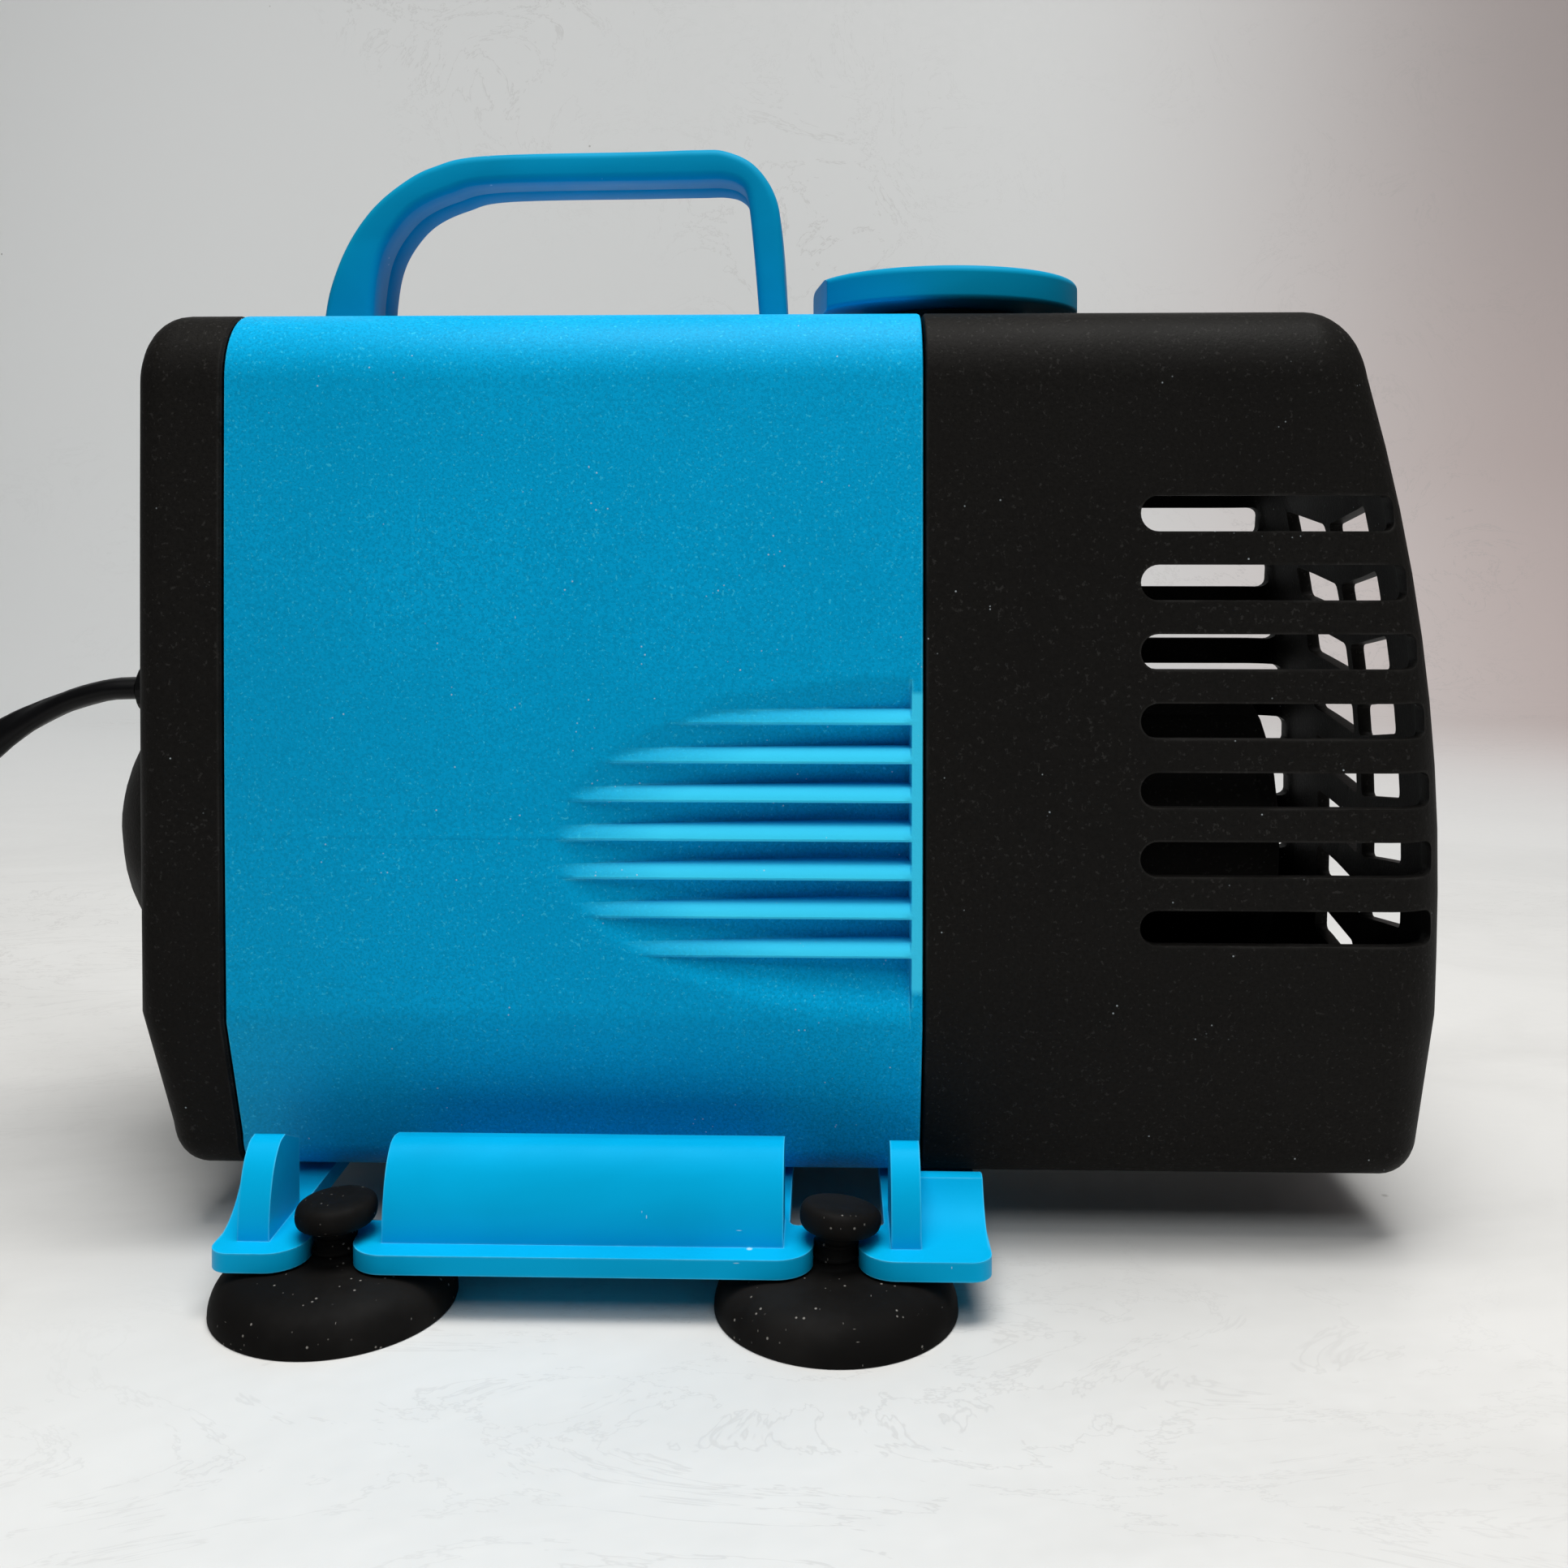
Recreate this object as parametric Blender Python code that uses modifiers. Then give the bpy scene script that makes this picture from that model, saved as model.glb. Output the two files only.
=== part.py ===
"""Submersible fountain pump: motor housing, strainer, chamber and rotor on a base plate with suction cups.

Units are metres, with +Z up. X runs along the motor's axis, with the strainer at +X and the cord at -X.
The origin is under the middle of the pump, on the surface that the suction cups stand on.
"""

import math

import bmesh
import bpy
from mathutils import Matrix, Vector

MM = 0.001
GAP = 0.3 * MM

# Pump body
REAR_SEAM_X = -62.7 * MM
FRONT_SEAM_X = 22.8 * MM
REAR_FACE_X = -74.7 * MM
END_X = 87.8 * MM
HALF_WIDTH = 32.5 * MM
BODY_BOTTOM = 8.3 * MM
BODY_TOP = 116.6 * MM
TAPER_TOP = 29.0 * MM
TAPER_IN = 5.3 * MM
TOP_RADIUS = 9.0 * MM
BOTTOM_RADIUS = 5.0 * MM
END_TOP_RADIUS = 5.0 * MM
END_BOTTOM_RADIUS = 4.0 * MM
FRONT_CORNER_RADIUS = 7.0 * MM
REAR_CORNER_RADIUS = 4.5 * MM
BOSS_BALL_R = 25.0 * MM
SIDE_BULGE = 0.4 * MM
SIDE_LEVELS = (TAPER_TOP, 46.0 * MM, 60.0 * MM, 73.0 * MM, 90.0 * MM)
FRONT_FULLEST_Z = 46.0 * MM
REAR_BULGE = 0.4 * MM
FRONT_BULGE = 2.0 * MM
WALL = 2.4 * MM
COVER_WALL = 1.8 * MM

# Motor
AXIS_Z = 48.5 * MM
SHAFT_R = 1.5 * MM
BUSH_BORE_R = 1.55 * MM
ROTOR_BORE_R = 1.62 * MM
CAN_INNER_R = 13.2 * MM
CAN_OUTER_R = 14.4 * MM
BULKHEAD_X = (10.0 * MM, 13.0 * MM)
STATOR_X = (-36.0 * MM, -4.0 * MM)
STATOR_HALF_Y = 24.0 * MM
STATOR_Z = (26.0 * MM, 108.0 * MM)
WINDOW_HALF_Y = 10.0 * MM
WINDOW_Z = (72.0 * MM, 98.0 * MM)
COIL_Z = (76.0 * MM, 97.7 * MM)

# Pump chamber and outlet
CHAMBER_R = 24.0 * MM
CHAMBER_X = (15.6 * MM, 39.0 * MM)
CHAMBER_WALL = 2.5 * MM
OUTLET_X = 27.3 * MM
PIPE_R = 11.5 * MM
INLET_R = 8.0 * MM
NOSE_R = 18.6 * MM
NOSE_END_X = 70.0 * MM
COVER_FLANGE_X = (42.8 * MM, 40.8 * MM)
PIPE_BORE_R = 9.2 * MM
PIPE_TOP = 117.2 * MM
CAP_R = 18.75 * MM
CAP_Z = (119.4 * MM, 123.8 * MM)
CAP_FLAT = 17.4 * MM
SPIGOT_END_Z = 106.0 * MM
SPIGOT_WALL = 1.8 * MM

# How fast the strainer's front falls back above and below its fullest height, per millimetre squared
FRONT_LEAN_UP = 0.00227
FRONT_LEAN_DOWN = 0.0012

# Strainer slots and housing louvres
SLOTS = 7
SLOT_PITCH = 8.32 * MM
SLOT_HEIGHT = 4.3 * MM
SLOT_LOWEST_Z = 41.4 * MM
SLOT_START_X = 48.7 * MM
SLOT_TO_FRONT = 3.6 * MM
FRONT_ROWS = 8
FRONT_ROW_PITCH = 8.42 * MM
FRONT_ROW_LOWEST_Z = 29.3 * MM
FRONT_ROW_HEIGHT = 4.3 * MM
FRONT_ROW_Y = (1.0 * MM, 17.0 * MM)
FRONT_ROW_RISE = 0.14
FINS = 7
FIN_PITCH = 4.72 * MM
FIN_THICK = 2.1 * MM
FIN_LOWEST_Z = 38.4 * MM
SCOOP_END_X = 21.2 * MM
SCOOP_Z = (31.2 * MM, 72.0 * MM)
SCOOP_LENGTH = 41.2 * MM
SCOOP_DEPTH = 5.0 * MM

# Handle, whose outlines are points in X and Z, in millimetres, each from one foot to the other
HANDLE_WIDTH = 13.3 * MM
HANDLE_FOOT_Z = BODY_TOP / MM + 0.3
HANDLE_OUTER = (
    (-59.0, HANDLE_FOOT_Z), (-57.9, 123.0), (-55.6, 128.9), (-52.3, 133.8), (-48.2, 137.4), (-43.5, 139.9),
    (-36.1, 141.4), (-14.6, 141.8), (-7.0, 142.0), (-3.0, 141.8), (0.6, 139.8), (3.1, 135.7), (4.0, 129.9),
    (4.9, HANDLE_FOOT_Z))
HANDLE_INNER = (
    (1.9, HANDLE_FOOT_Z), (0.9, 128.9), (0.1, 135.3), (-1.1, 137.2), (-3.4, 137.9), (-7.0, 137.9),
    (-14.6, 137.8), (-35.0, 137.5), (-41.2, 136.2), (-45.8, 134.1), (-48.8, 131.0), (-50.7, 127.3),
    (-51.6, 122.4), (-51.9, HANDLE_FOOT_Z))

# Base and suction cups
FLANGE_X = (-59.2 * MM, 29.7 * MM)
FLANGE_HALF_Y = 47.3 * MM
FLANGE_Z = (5.3 * MM, 7.5 * MM)
RISER_X = (-40.0 * MM, 6.1 * MM)
END_RIBS_X = ((-56.7 * MM, -53.0 * MM), (18.4 * MM, 21.8 * MM))
CUP_X = (-46.0 * MM, 12.1 * MM)
CUP_Y = 42.1 * MM
CUP_SLOT_R = 2.6 * MM
# The cup's radius and height in millimetres, down its outside and back up the hollow under it
CUP_PROFILE = (
    (0.0, 11.9), (4.2, 11.9), (4.9, 11.3), (4.9, 9.8), (4.3, 9.2), (2.3, 9.2), (2.3, 5.4), (2.6, 4.95),
    (6.0, 4.9), (9.5, 4.8), (11.6, 4.3), (13.0, 3.3), (13.8, 1.9), (14.0, 0.8), (14.0, 0.0), (13.0, 0.0),
    (9.0, 1.5), (4.5, 2.4), (0.0, 2.6))

# Cord, coil and plug. The routes are points in millimetres
CORD_ROUTE = (
    (-87.3, 0.0, 67.0), (-92.0, 0.0, 66.7), (-99.0, 0.1, 64.6), (-107.0, 0.4, 60.6), (-115.0, 1.0, 54.2),
    (-122.5, 2.2, 45.4), (-129.0, 4.0, 35.0), (-134.8, 6.2, 24.3), (-141.5, 8.8, 14.0), (-150.0, 11.3, 6.8),
    (-158.0, 13.0, 4.2), (-164.4, 13.7, 3.7))
TAIL_ROUTE = ((-164.3, -54.8, 12.3), (-160.0, -55.9, 9.6), (-155.5, -56.8, 7.6), (-150.8, -57.0, 7.0))
CORD_R = 2.6 * MM
CORD_Z = 67.0 * MM
GLAND_END_X = -86.8 * MM
GLAND_START_X = -70.0 * MM
GLAND_R = 4.2 * MM
COIL_CENTRE = (-185.0 * MM, -20.0 * MM)
COIL_INNER_R = 20.4 * MM
COIL_OUTER_R = 36.6 * MM
COIL_LOW = 1.1 * MM
COIL_HIGH = 17.0 * MM
TIE_THICK = 0.8 * MM
PLUG_START_X = -150.0 * MM
PLUG_Y = -57.0 * MM
PLUG_Z = 7.0 * MM
PLUG_LENGTH = 46.0 * MM
PIN_R = 2.0 * MM
PIN_TIP_R = 1.2 * MM
PIN_LENGTH = 19.0 * MM
PIN_SIDE = 9.3 * MM
# Along the plug, its half width and half height, in millimetres
PLUG_SECTIONS = (
    (0.0, 3.0, 3.0), (14.0, 4.4, 4.2), (16.0, 8.0, 6.0), (22.0, 13.0, 6.9), (44.0, 12.4, 6.9),
    (46.0, 11.4, 6.2))


def fresh_scene():
    for item in list(bpy.data.objects):
        bpy.data.objects.remove(item, do_unlink=True)


def new_collection(name):
    made = bpy.data.collections.new(name)
    bpy.context.scene.collection.children.link(made)
    return made


fresh_scene()
PARTS = new_collection("submersible_pump")
CUTTERS = new_collection("cutters")


def material(name, colour, roughness, metallic=0.0):
    made = bpy.data.materials.new(name)
    made.use_nodes = True
    shader = made.node_tree.nodes["Principled BSDF"]
    shader.inputs["Base Color"].default_value = (*colour, 1.0)
    shader.inputs["Roughness"].default_value = roughness
    shader.inputs["Metallic"].default_value = metallic
    made.diffuse_color = (*colour, 1.0)
    return made


BLUE = material("housing_blue", (0.006, 0.26, 0.53), 0.5)
BRIGHT_BLUE = material("trim_blue", (0.005, 0.32, 0.68), 0.35)
BLACK = material("cover_black", (0.012, 0.011, 0.010), 0.45)
RUBBER = material("cup_rubber", (0.010, 0.009, 0.008), 0.8)
SEAL = material("seal_rubber", (0.03, 0.03, 0.03), 0.7)
CERAMIC = material("shaft_ceramic", (0.85, 0.84, 0.80), 0.2)
MAGNET = material("ferrite", (0.05, 0.05, 0.055), 0.5, 0.3)
LAMINATION = material("lamination_steel", (0.35, 0.35, 0.36), 0.45, 1.0)
COPPER = material("enamelled_copper", (0.55, 0.22, 0.08), 0.3, 1.0)
BOBBIN = material("bobbin_nylon", (0.75, 0.73, 0.66), 0.5)
IMPELLER = material("impeller_plastic", (0.75, 0.75, 0.72), 0.4)
CORD = material("cord_pvc", (0.010, 0.010, 0.010), 0.5)
BRASS = material("plated_pin", (0.70, 0.68, 0.62), 0.3, 1.0)


def place(name, mesh, look, group=PARTS):
    made = bpy.data.objects.new(name, mesh)
    group.objects.link(made)
    if look:
        mesh.materials.append(look)
    return made


def from_bmesh(name, shape, look, group=PARTS):
    bmesh.ops.recalc_face_normals(shape, faces=shape.faces)
    mesh = bpy.data.meshes.new(name)
    shape.to_mesh(mesh)
    shape.free()
    mesh.shade_smooth()
    mesh.set_sharp_from_angle(angle=math.radians(35))
    return place(name, mesh, look, group)


def boxes(name, corner_pairs, look=None, group=PARTS):
    """One object holding a box for each pair of a low and a high corner."""
    shape = bmesh.new()
    for low, high in corner_pairs:
        low, high = Vector(low), Vector(high)
        size = Matrix.Diagonal((*(high - low), 1.0))
        bmesh.ops.create_cube(shape, size=1.0, matrix=Matrix.Translation((low + high) / 2) @ size)
    return from_bmesh(name, shape, look, group)


def lofts(name, bodies, look=None, group=PARTS):
    """One object holding a closed skin for each list of rings, whose rings have equal counts of points."""
    shape = bmesh.new()
    for rings in bodies:
        rows = [[shape.verts.new(point) for point in ring] for ring in rings]
        for low, high in zip(rows, rows[1:]):
            for i in range(len(low)):
                j = (i + 1) % len(low)
                shape.faces.new((low[i], low[j], high[j], high[i]))
        shape.faces.new(list(reversed(rows[0])))
        shape.faces.new(rows[-1])
    return from_bmesh(name, shape, look, group)


def along_x(outline, start, end):
    """The two rings of an outline in Y and Z that is drawn out along X."""
    return [[(x, y, z) for y, z in outline] for x in (start, end)]


def along_y(outline, start, end):
    return [[(x, y, z) for x, z in outline] for y in (start, end)]


def along_z(outline, start, end):
    return [[(x, y, z) for x, y in outline] for z in (start, end)]


def plate(name, outlines, thickness, matrix, look, group=PARTS):
    """A flat piece from its outline and those of its holes, filled and drawn out to its thickness."""
    curve = bpy.data.curves.new(name, "CURVE")
    curve.dimensions = "2D"
    curve.fill_mode = "BOTH"
    curve.extrude = thickness / 2
    for outline in outlines:
        spline = curve.splines.new("POLY")
        spline.points.add(len(outline) - 1)
        spline.use_cyclic_u = True
        for point, (u, v) in zip(spline.points, outline):
            point.co = (u, v, 0.0, 1.0)
    drawn = bpy.data.objects.new(name, curve)
    PARTS.objects.link(drawn)
    bpy.context.view_layer.update()
    evaluated = drawn.evaluated_get(bpy.context.evaluated_depsgraph_get())
    shape = bmesh.new()
    shape.from_mesh(bpy.data.meshes.new_from_object(evaluated))
    bpy.data.objects.remove(drawn, do_unlink=True)
    bmesh.ops.remove_doubles(shape, verts=shape.verts, dist=0.00001)
    bmesh.ops.transform(shape, matrix=matrix, verts=shape.verts)
    return from_bmesh(name, shape, look, group)


def turned(name, profile, matrix, look, steps=24, group=PARTS):
    """A profile of radius and height turned about Z, with its outer side running down."""
    mesh = bpy.data.meshes.new(name)
    closed = profile[0][0] > 0
    edges = [(i, i + 1) for i in range(len(profile) - 1)]
    if closed:
        edges.append((len(profile) - 1, 0))
    mesh.from_pydata([(r, 0.0, h) for r, h in profile], edges, [])
    made = place(name, mesh, look, group)
    screw = made.modifiers.new("turn", "SCREW")
    screw.steps = steps
    screw.render_steps = steps
    screw.use_merge_vertices = True
    screw.merge_threshold = 0.00001
    screw.use_smooth_shade = True
    made.matrix_world = matrix
    return made


def x_axis(height=AXIS_Z, side=0.0):
    """Lays a turned piece's Z axis along X, at a height."""
    return Matrix.Translation((0.0, side, height)) @ Matrix.Rotation(math.radians(90), 4, "Y")


def upright(x, y, z=0.0):
    return Matrix.Translation((x, y, z))


def washer(inner, outer, start, end):
    """The profile of a ring, or of a disc where inner is 0."""
    return [(outer, end), (outer, start), (inner, start), (inner, end)]


def rod(radius, start, end):
    return [(0.0, end), (radius, end), (radius, start), (0.0, start)]


def as_cutter(item):
    item.hide_render = True
    item.display_type = "WIRE"


def combine(target, operation, *others):
    for other in others:
        as_cutter(other)
        step = target.modifiers.new(operation.lower(), "BOOLEAN")
        step.operation = operation
        step.solver = "EXACT"
        step.object = other
    return target


def cut(target, *others):
    return combine(target, "DIFFERENCE", *others)


def join(target, *others):
    return combine(target, "UNION", *others)


def round_edges(item, width, segments=2, angle=50):
    step = item.modifiers.new("rounding", "BEVEL")
    step.width = width
    step.segments = segments
    step.limit_method = "ANGLE"
    step.angle_limit = math.radians(angle)
    return item


def arc(centre, radius, start, end, count):
    """Points of an arc, with its angles in degrees."""
    turns = [math.radians(start + (end - start) * i / count) for i in range(count + 1)]
    return [(centre[0] + radius * math.cos(a), centre[1] + radius * math.sin(a)) for a in turns]


def rounded_rectangle(low, high, radius, count=4):
    """An outline with round corners, from its low and high corners."""
    (x0, y0), (x1, y1) = low, high
    return (
        arc((x1 - radius, y1 - radius), radius, 0, 90, count)
        + arc((x0 + radius, y1 - radius), radius, 90, 180, count)
        + arc((x0 + radius, y0 + radius), radius, 180, 270, count)
        + arc((x1 - radius, y0 + radius), radius, 270, 360, count)
    )


def smooth(points, steps):
    """A smooth curve through the points, read off at steps places between each two."""
    points = [Vector(p) for p in points]
    ends = [2 * points[0] - points[1], *points, 2 * points[-1] - points[-2]]
    line = []
    for a, b, c, d in zip(ends, ends[1:], ends[2:], ends[3:]):
        for i in range(steps):
            t = i / steps
            line.append(
                0.5 * (2 * b + (c - a) * t + (2 * a - 5 * b + 4 * c - d) * t**2
                       + (3 * b - a - 3 * c + d) * t**3)
            )
    return line + [points[-1]]


def evenly(points, spacing):
    """Points about a spacing apart along a line."""
    runs = [0.0]
    for a, b in zip(points, points[1:]):
        runs.append(runs[-1] + (b - a).length)
    count = max(2, round(runs[-1] / spacing))
    line, k = [], 0
    for i in range(count + 1):
        at = runs[-1] * i / count
        while k < len(points) - 2 and runs[k + 1] < at:
            k += 1
        share = (at - runs[k]) / max(runs[k + 1] - runs[k], 1e-9)
        line.append(points[k].lerp(points[k + 1], min(share, 1.0)))
    return line


def tube(name, route, radius, look):
    """A cord along its route, from a smooth curve through the route's points."""
    line = evenly(smooth(route, 8), 5 * radius)
    curve = bpy.data.curves.new(name, "CURVE")
    curve.dimensions = "3D"
    curve.bevel_depth = radius
    curve.bevel_resolution = 2
    curve.use_fill_caps = True
    spline = curve.splines.new("POLY")
    spline.points.add(len(line) - 1)
    for point, place_at in zip(spline.points, line):
        point.co = (*place_at, 1.0)
    made = bpy.data.objects.new(name, curve)
    PARTS.objects.link(made)
    curve.materials.append(look)
    return made


# ---------------------------------------------------------------- pump body


def body_levels(inset):
    """The height and half width of the body's section, bottom to top, moved in by the inset."""
    half = HALF_WIDTH - inset
    low_r, top_r = BOTTOM_RADIUS - inset, TOP_RADIUS - inset
    low = arc((half - TAPER_IN - low_r, BODY_BOTTOM + BOTTOM_RADIUS), low_r, -90, 0, 3)
    top = arc((half - top_r, BODY_TOP - TOP_RADIUS), top_r, 0, 90, 5)
    middle = []
    for z in SIDE_LEVELS:
        up = (z - TAPER_TOP) / (BODY_TOP - TOP_RADIUS - TAPER_TOP)
        middle.append((half + SIDE_BULGE * math.sin(math.pi * up), z))
    return [(z, y) for y, z in low + middle + top]


def body_section(inset):
    side = [(y, z) for z, y in body_levels(inset)]
    return side + [(-y, z) for y, z in reversed(side)]


def edge_pull(z, inset):
    """How far the rounded top and bottom edges draw an end face in at a height."""
    top_centre, low_centre = BODY_TOP - END_TOP_RADIUS, BODY_BOTTOM + END_BOTTOM_RADIUS
    if z > top_centre:
        radius, away = END_TOP_RADIUS - inset, z - top_centre
    elif z < low_centre:
        radius, away = END_BOTTOM_RADIUS - inset, low_centre - z
    else:
        return 0.0
    return radius - math.sqrt(max(radius**2 - away**2, 0.0))


def front_x(z):
    """The strainer's front face: fullest near the motor's axis, further back at the top."""
    away = (z - FRONT_FULLEST_Z) / MM
    return END_X - (FRONT_LEAN_UP if away > 0 else FRONT_LEAN_DOWN) * away**2 * MM


def rear_x(z):
    """The rear cover's end face: flat, and drawn in along the lower taper."""
    drawn_in = 2.5 * MM * max(0.0, (TAPER_TOP - z) / (TAPER_TOP - BODY_BOTTOM))
    return REAR_FACE_X + drawn_in


def cover_ring(z, half, seam, end, corner, bulge):
    """One level of an end cover in plan: flat sides, round corners and a slightly full end."""
    way = 1.0 if end > seam else -1.0
    side = [(seam, half)]
    for x, y in arc((0.0, half - corner), corner, 90, 0, 5):
        side.append((end - way * (corner - x), y))
    side += [(end, (half - corner) * 0.5)]
    side = [(x - way * bulge * (y / half) ** 2 if x != seam else x, y) for x, y in side]
    points = side + [(end, 0.0)] + [(x, -y) for x, y in reversed(side)]
    return [(x, y, z) for x, y in points]


def cover_rings(seam, end_at, inset, corner, bulge):
    way = 1.0 if end_at(AXIS_Z) > seam else -1.0
    rings = []
    for z, half in body_levels(inset):
        end = end_at(z) - way * (inset + edge_pull(z, inset))
        rings.append(cover_ring(z, half, seam, end, corner - inset, bulge))
    return rings


def scoop_backing():
    """The places where the housing's wall is thick enough for the louvres' scoop."""
    inner = HALF_WIDTH - SCOOP_DEPTH - 2.0 * MM
    low, high = SCOOP_Z[0] - 3 * MM, SCOOP_Z[1] + 2.5 * MM
    pairs = []
    for side in (1, -1):
        ys = sorted((side * inner, side * 40 * MM))
        pairs.append(((-23 * MM, ys[0], low), (30 * MM, ys[1], high)))
    return pairs


def scoop(side):
    """The louvres' hollow on one side, with the fins left standing."""
    shape = bmesh.new()
    half_height = (SCOOP_Z[1] - SCOOP_Z[0]) / 2
    size = Matrix.Diagonal((SCOOP_LENGTH, SCOOP_DEPTH, half_height, 1.0))
    centre = (SCOOP_END_X, side * (HALF_WIDTH + 0.1 * MM), (SCOOP_Z[0] + SCOOP_Z[1]) / 2)
    bmesh.ops.create_uvsphere(shape, u_segments=24, v_segments=14, radius=1.0,
                              matrix=Matrix.Translation(centre) @ size)
    hollow = from_bmesh(f"scoop_{side}", shape, None, CUTTERS)
    fins = []
    for i in range(FINS):
        z = FIN_LOWEST_Z + i * FIN_PITCH
        ys = sorted((side * 20 * MM, side * 45 * MM))
        fins.append(((-40 * MM, ys[0], z - FIN_THICK / 2), (70 * MM, ys[1], z + FIN_THICK / 2)))
    front = ((SCOOP_END_X, -50 * MM, 0.0), (90 * MM, 50 * MM, 100 * MM))
    cut(hollow, boxes(f"fins_{side}", fins, None, CUTTERS))
    return cut(hollow, boxes(f"scoop_front_{side}", [front], None, CUTTERS))


def motor_housing():
    housing = lofts("motor_housing", [along_x(body_section(0.0), REAR_SEAM_X + GAP / 2,
                                              FRONT_SEAM_X - GAP / 2)], BLUE)
    motor_room = lofts("motor_room", [along_x(body_section(WALL), REAR_SEAM_X - 2 * MM,
                                              BULKHEAD_X[0])], None, CUTTERS)
    front_room = lofts("front_room", [along_x(body_section(WALL), BULKHEAD_X[1],
                                              FRONT_SEAM_X + 2 * MM)], None, CUTTERS)
    for room in (motor_room, front_room):
        cut(room, boxes(f"{room.name}_backing", scoop_backing(), None, CUTTERS))
    can_hole = turned("can_hole", rod(CAN_OUTER_R + GAP, 0.0, 20 * MM), x_axis(), None, 24, CUTTERS)
    pipe_notch = turned("housing_notch", rod(PIPE_R + 1.5 * MM, 90 * MM, 130 * MM),
                        upright(OUTLET_X, 0.0), None, 32, CUTTERS)
    cut(housing, motor_room, front_room, can_hole, pipe_notch, scoop(-1), scoop(1))


def dome(name, inset, look, group):
    """The round boss on the rear cover, as a part of a ball turned about the motor's axis."""
    ball_r = BOSS_BALL_R - inset
    centre_x = BOSS_BALL_R - END_X
    base_x = REAR_FACE_X + 0.8 * MM
    widest = math.degrees(math.acos((centre_x - base_x) / ball_r))
    cap = arc((centre_x, 0.0), ball_r, 180 - widest, 180, 6)
    back_x = base_x + (4.0 * MM if inset else 0.6 * MM)
    profile = [(0.0, back_x), (cap[0][1], back_x)] + [(r, x) for x, r in cap[:-1]] + [(0.0, cap[-1][0])]
    return turned(name, profile, x_axis(), look, 28, group)


def rear_cover():
    seam = REAR_SEAM_X - GAP / 2
    skin = cover_rings(seam, rear_x, 0.0, REAR_CORNER_RADIUS, REAR_BULGE)
    hollow = cover_rings(seam + 2 * MM, rear_x, COVER_WALL, REAR_CORNER_RADIUS, REAR_BULGE)
    cover = lofts("rear_cover", [skin], BLACK)
    room = lofts("rear_room", [hollow], None, CUTTERS)
    join(cover, dome("dome_skin", 0.0, None, CUTTERS))
    bore = rod(GLAND_R + GAP, GLAND_END_X - 8 * MM, GLAND_START_X + 2 * MM)
    gland_hole = turned("gland_hole", bore, x_axis(CORD_Z), None, 20, CUTTERS)
    cut(cover, room, dome("dome_room", COVER_WALL, None, CUTTERS), gland_hole)


def side_slots():
    bodies = []
    for i in range(SLOTS):
        z = SLOT_LOWEST_Z + i * SLOT_PITCH
        end = front_x(z) - SLOT_TO_FRONT
        r = SLOT_HEIGHT / 2
        outline = arc((SLOT_START_X + r, z), r, 90, 270, 6) + [(end, z - r), (end, z + r)]
        bodies.append(along_y(outline, -40 * MM, 40 * MM))
    return lofts("side_slots", bodies, None, CUTTERS)


def front_windows():
    """The front's slots, in two columns that rise away from the middle rib."""
    bodies = []
    for i in range(FRONT_ROWS):
        for side in (-1, 1):
            inner, outer = FRONT_ROW_Y
            low = FRONT_ROW_LOWEST_Z + i * FRONT_ROW_PITCH - FRONT_ROW_HEIGHT / 2
            rise = FRONT_ROW_RISE * (outer - inner)
            outline = [(side * inner, low), (side * outer, low + rise),
                       (side * outer, low + rise + FRONT_ROW_HEIGHT), (side * inner, low + FRONT_ROW_HEIGHT)]
            bodies.append(along_x(outline, 74 * MM, 95 * MM))
    return lofts("front_windows", bodies, None, CUTTERS)


def strainer_cover():
    seam = FRONT_SEAM_X + GAP / 2
    skin = cover_rings(seam, front_x, 0.0, FRONT_CORNER_RADIUS, FRONT_BULGE)
    hollow = cover_rings(seam - 2 * MM, front_x, COVER_WALL, FRONT_CORNER_RADIUS, FRONT_BULGE)
    cover = lofts("strainer_cover", [skin], BLACK)
    room = lofts("strainer_room", [hollow], None, CUTTERS)
    notch_r = PIPE_R + 1.5 * MM
    notch = arc((OUTLET_X, 0.0), notch_r, -90, 90, 12) + [(10 * MM, notch_r), (10 * MM, -notch_r)]
    pipe_notch = lofts("strainer_notch", [along_z(notch, 100 * MM, 130 * MM)], None, CUTTERS)
    cut(cover, room, pipe_notch, side_slots(), front_windows())


def carry_handle():
    outline = []
    for side in (HANDLE_OUTER, HANDLE_INNER):
        outline += [tuple(point) for point in smooth([(x * MM, z * MM) for x, z in side], 2)]
    lay = Matrix.Rotation(math.radians(90), 4, "X")
    handle = plate("carry_handle", [outline], HANDLE_WIDTH, lay, BRIGHT_BLUE)
    round_edges(handle, 0.8 * MM, 2)


# ---------------------------------------------------------------- base


def upright_outline(side, inner_y, inner_z):
    """The section of a riser or a rib: a nearly upright outer face with a round shoulder."""
    outer = [(44.2, 6.5), (44.0, 9.8), (43.4, 12.8), (42.2, 15.6), (40.4, 17.4), (38.6, 17.8)]
    points = [(y * MM, z * MM) for y, z in outer] + [(inner_y, inner_z), (inner_y, 6.5 * MM)]
    return [(side * y, z) for y, z in points]


def cove_outline(side):
    """The section of the hollow-faced ridge at each end of the base."""
    face = arc((44.5 * MM, 16.7 * MM), 9.2 * MM, -90, -153, 5)
    back = [(35.4 * MM, 12.7 * MM), (33.6 * MM, 12.2 * MM), (33.6 * MM, 6.5 * MM)]
    points = [(44.5 * MM, 6.5 * MM), *face, *back]
    return [(side * y, z) for y, z in points]


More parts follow.
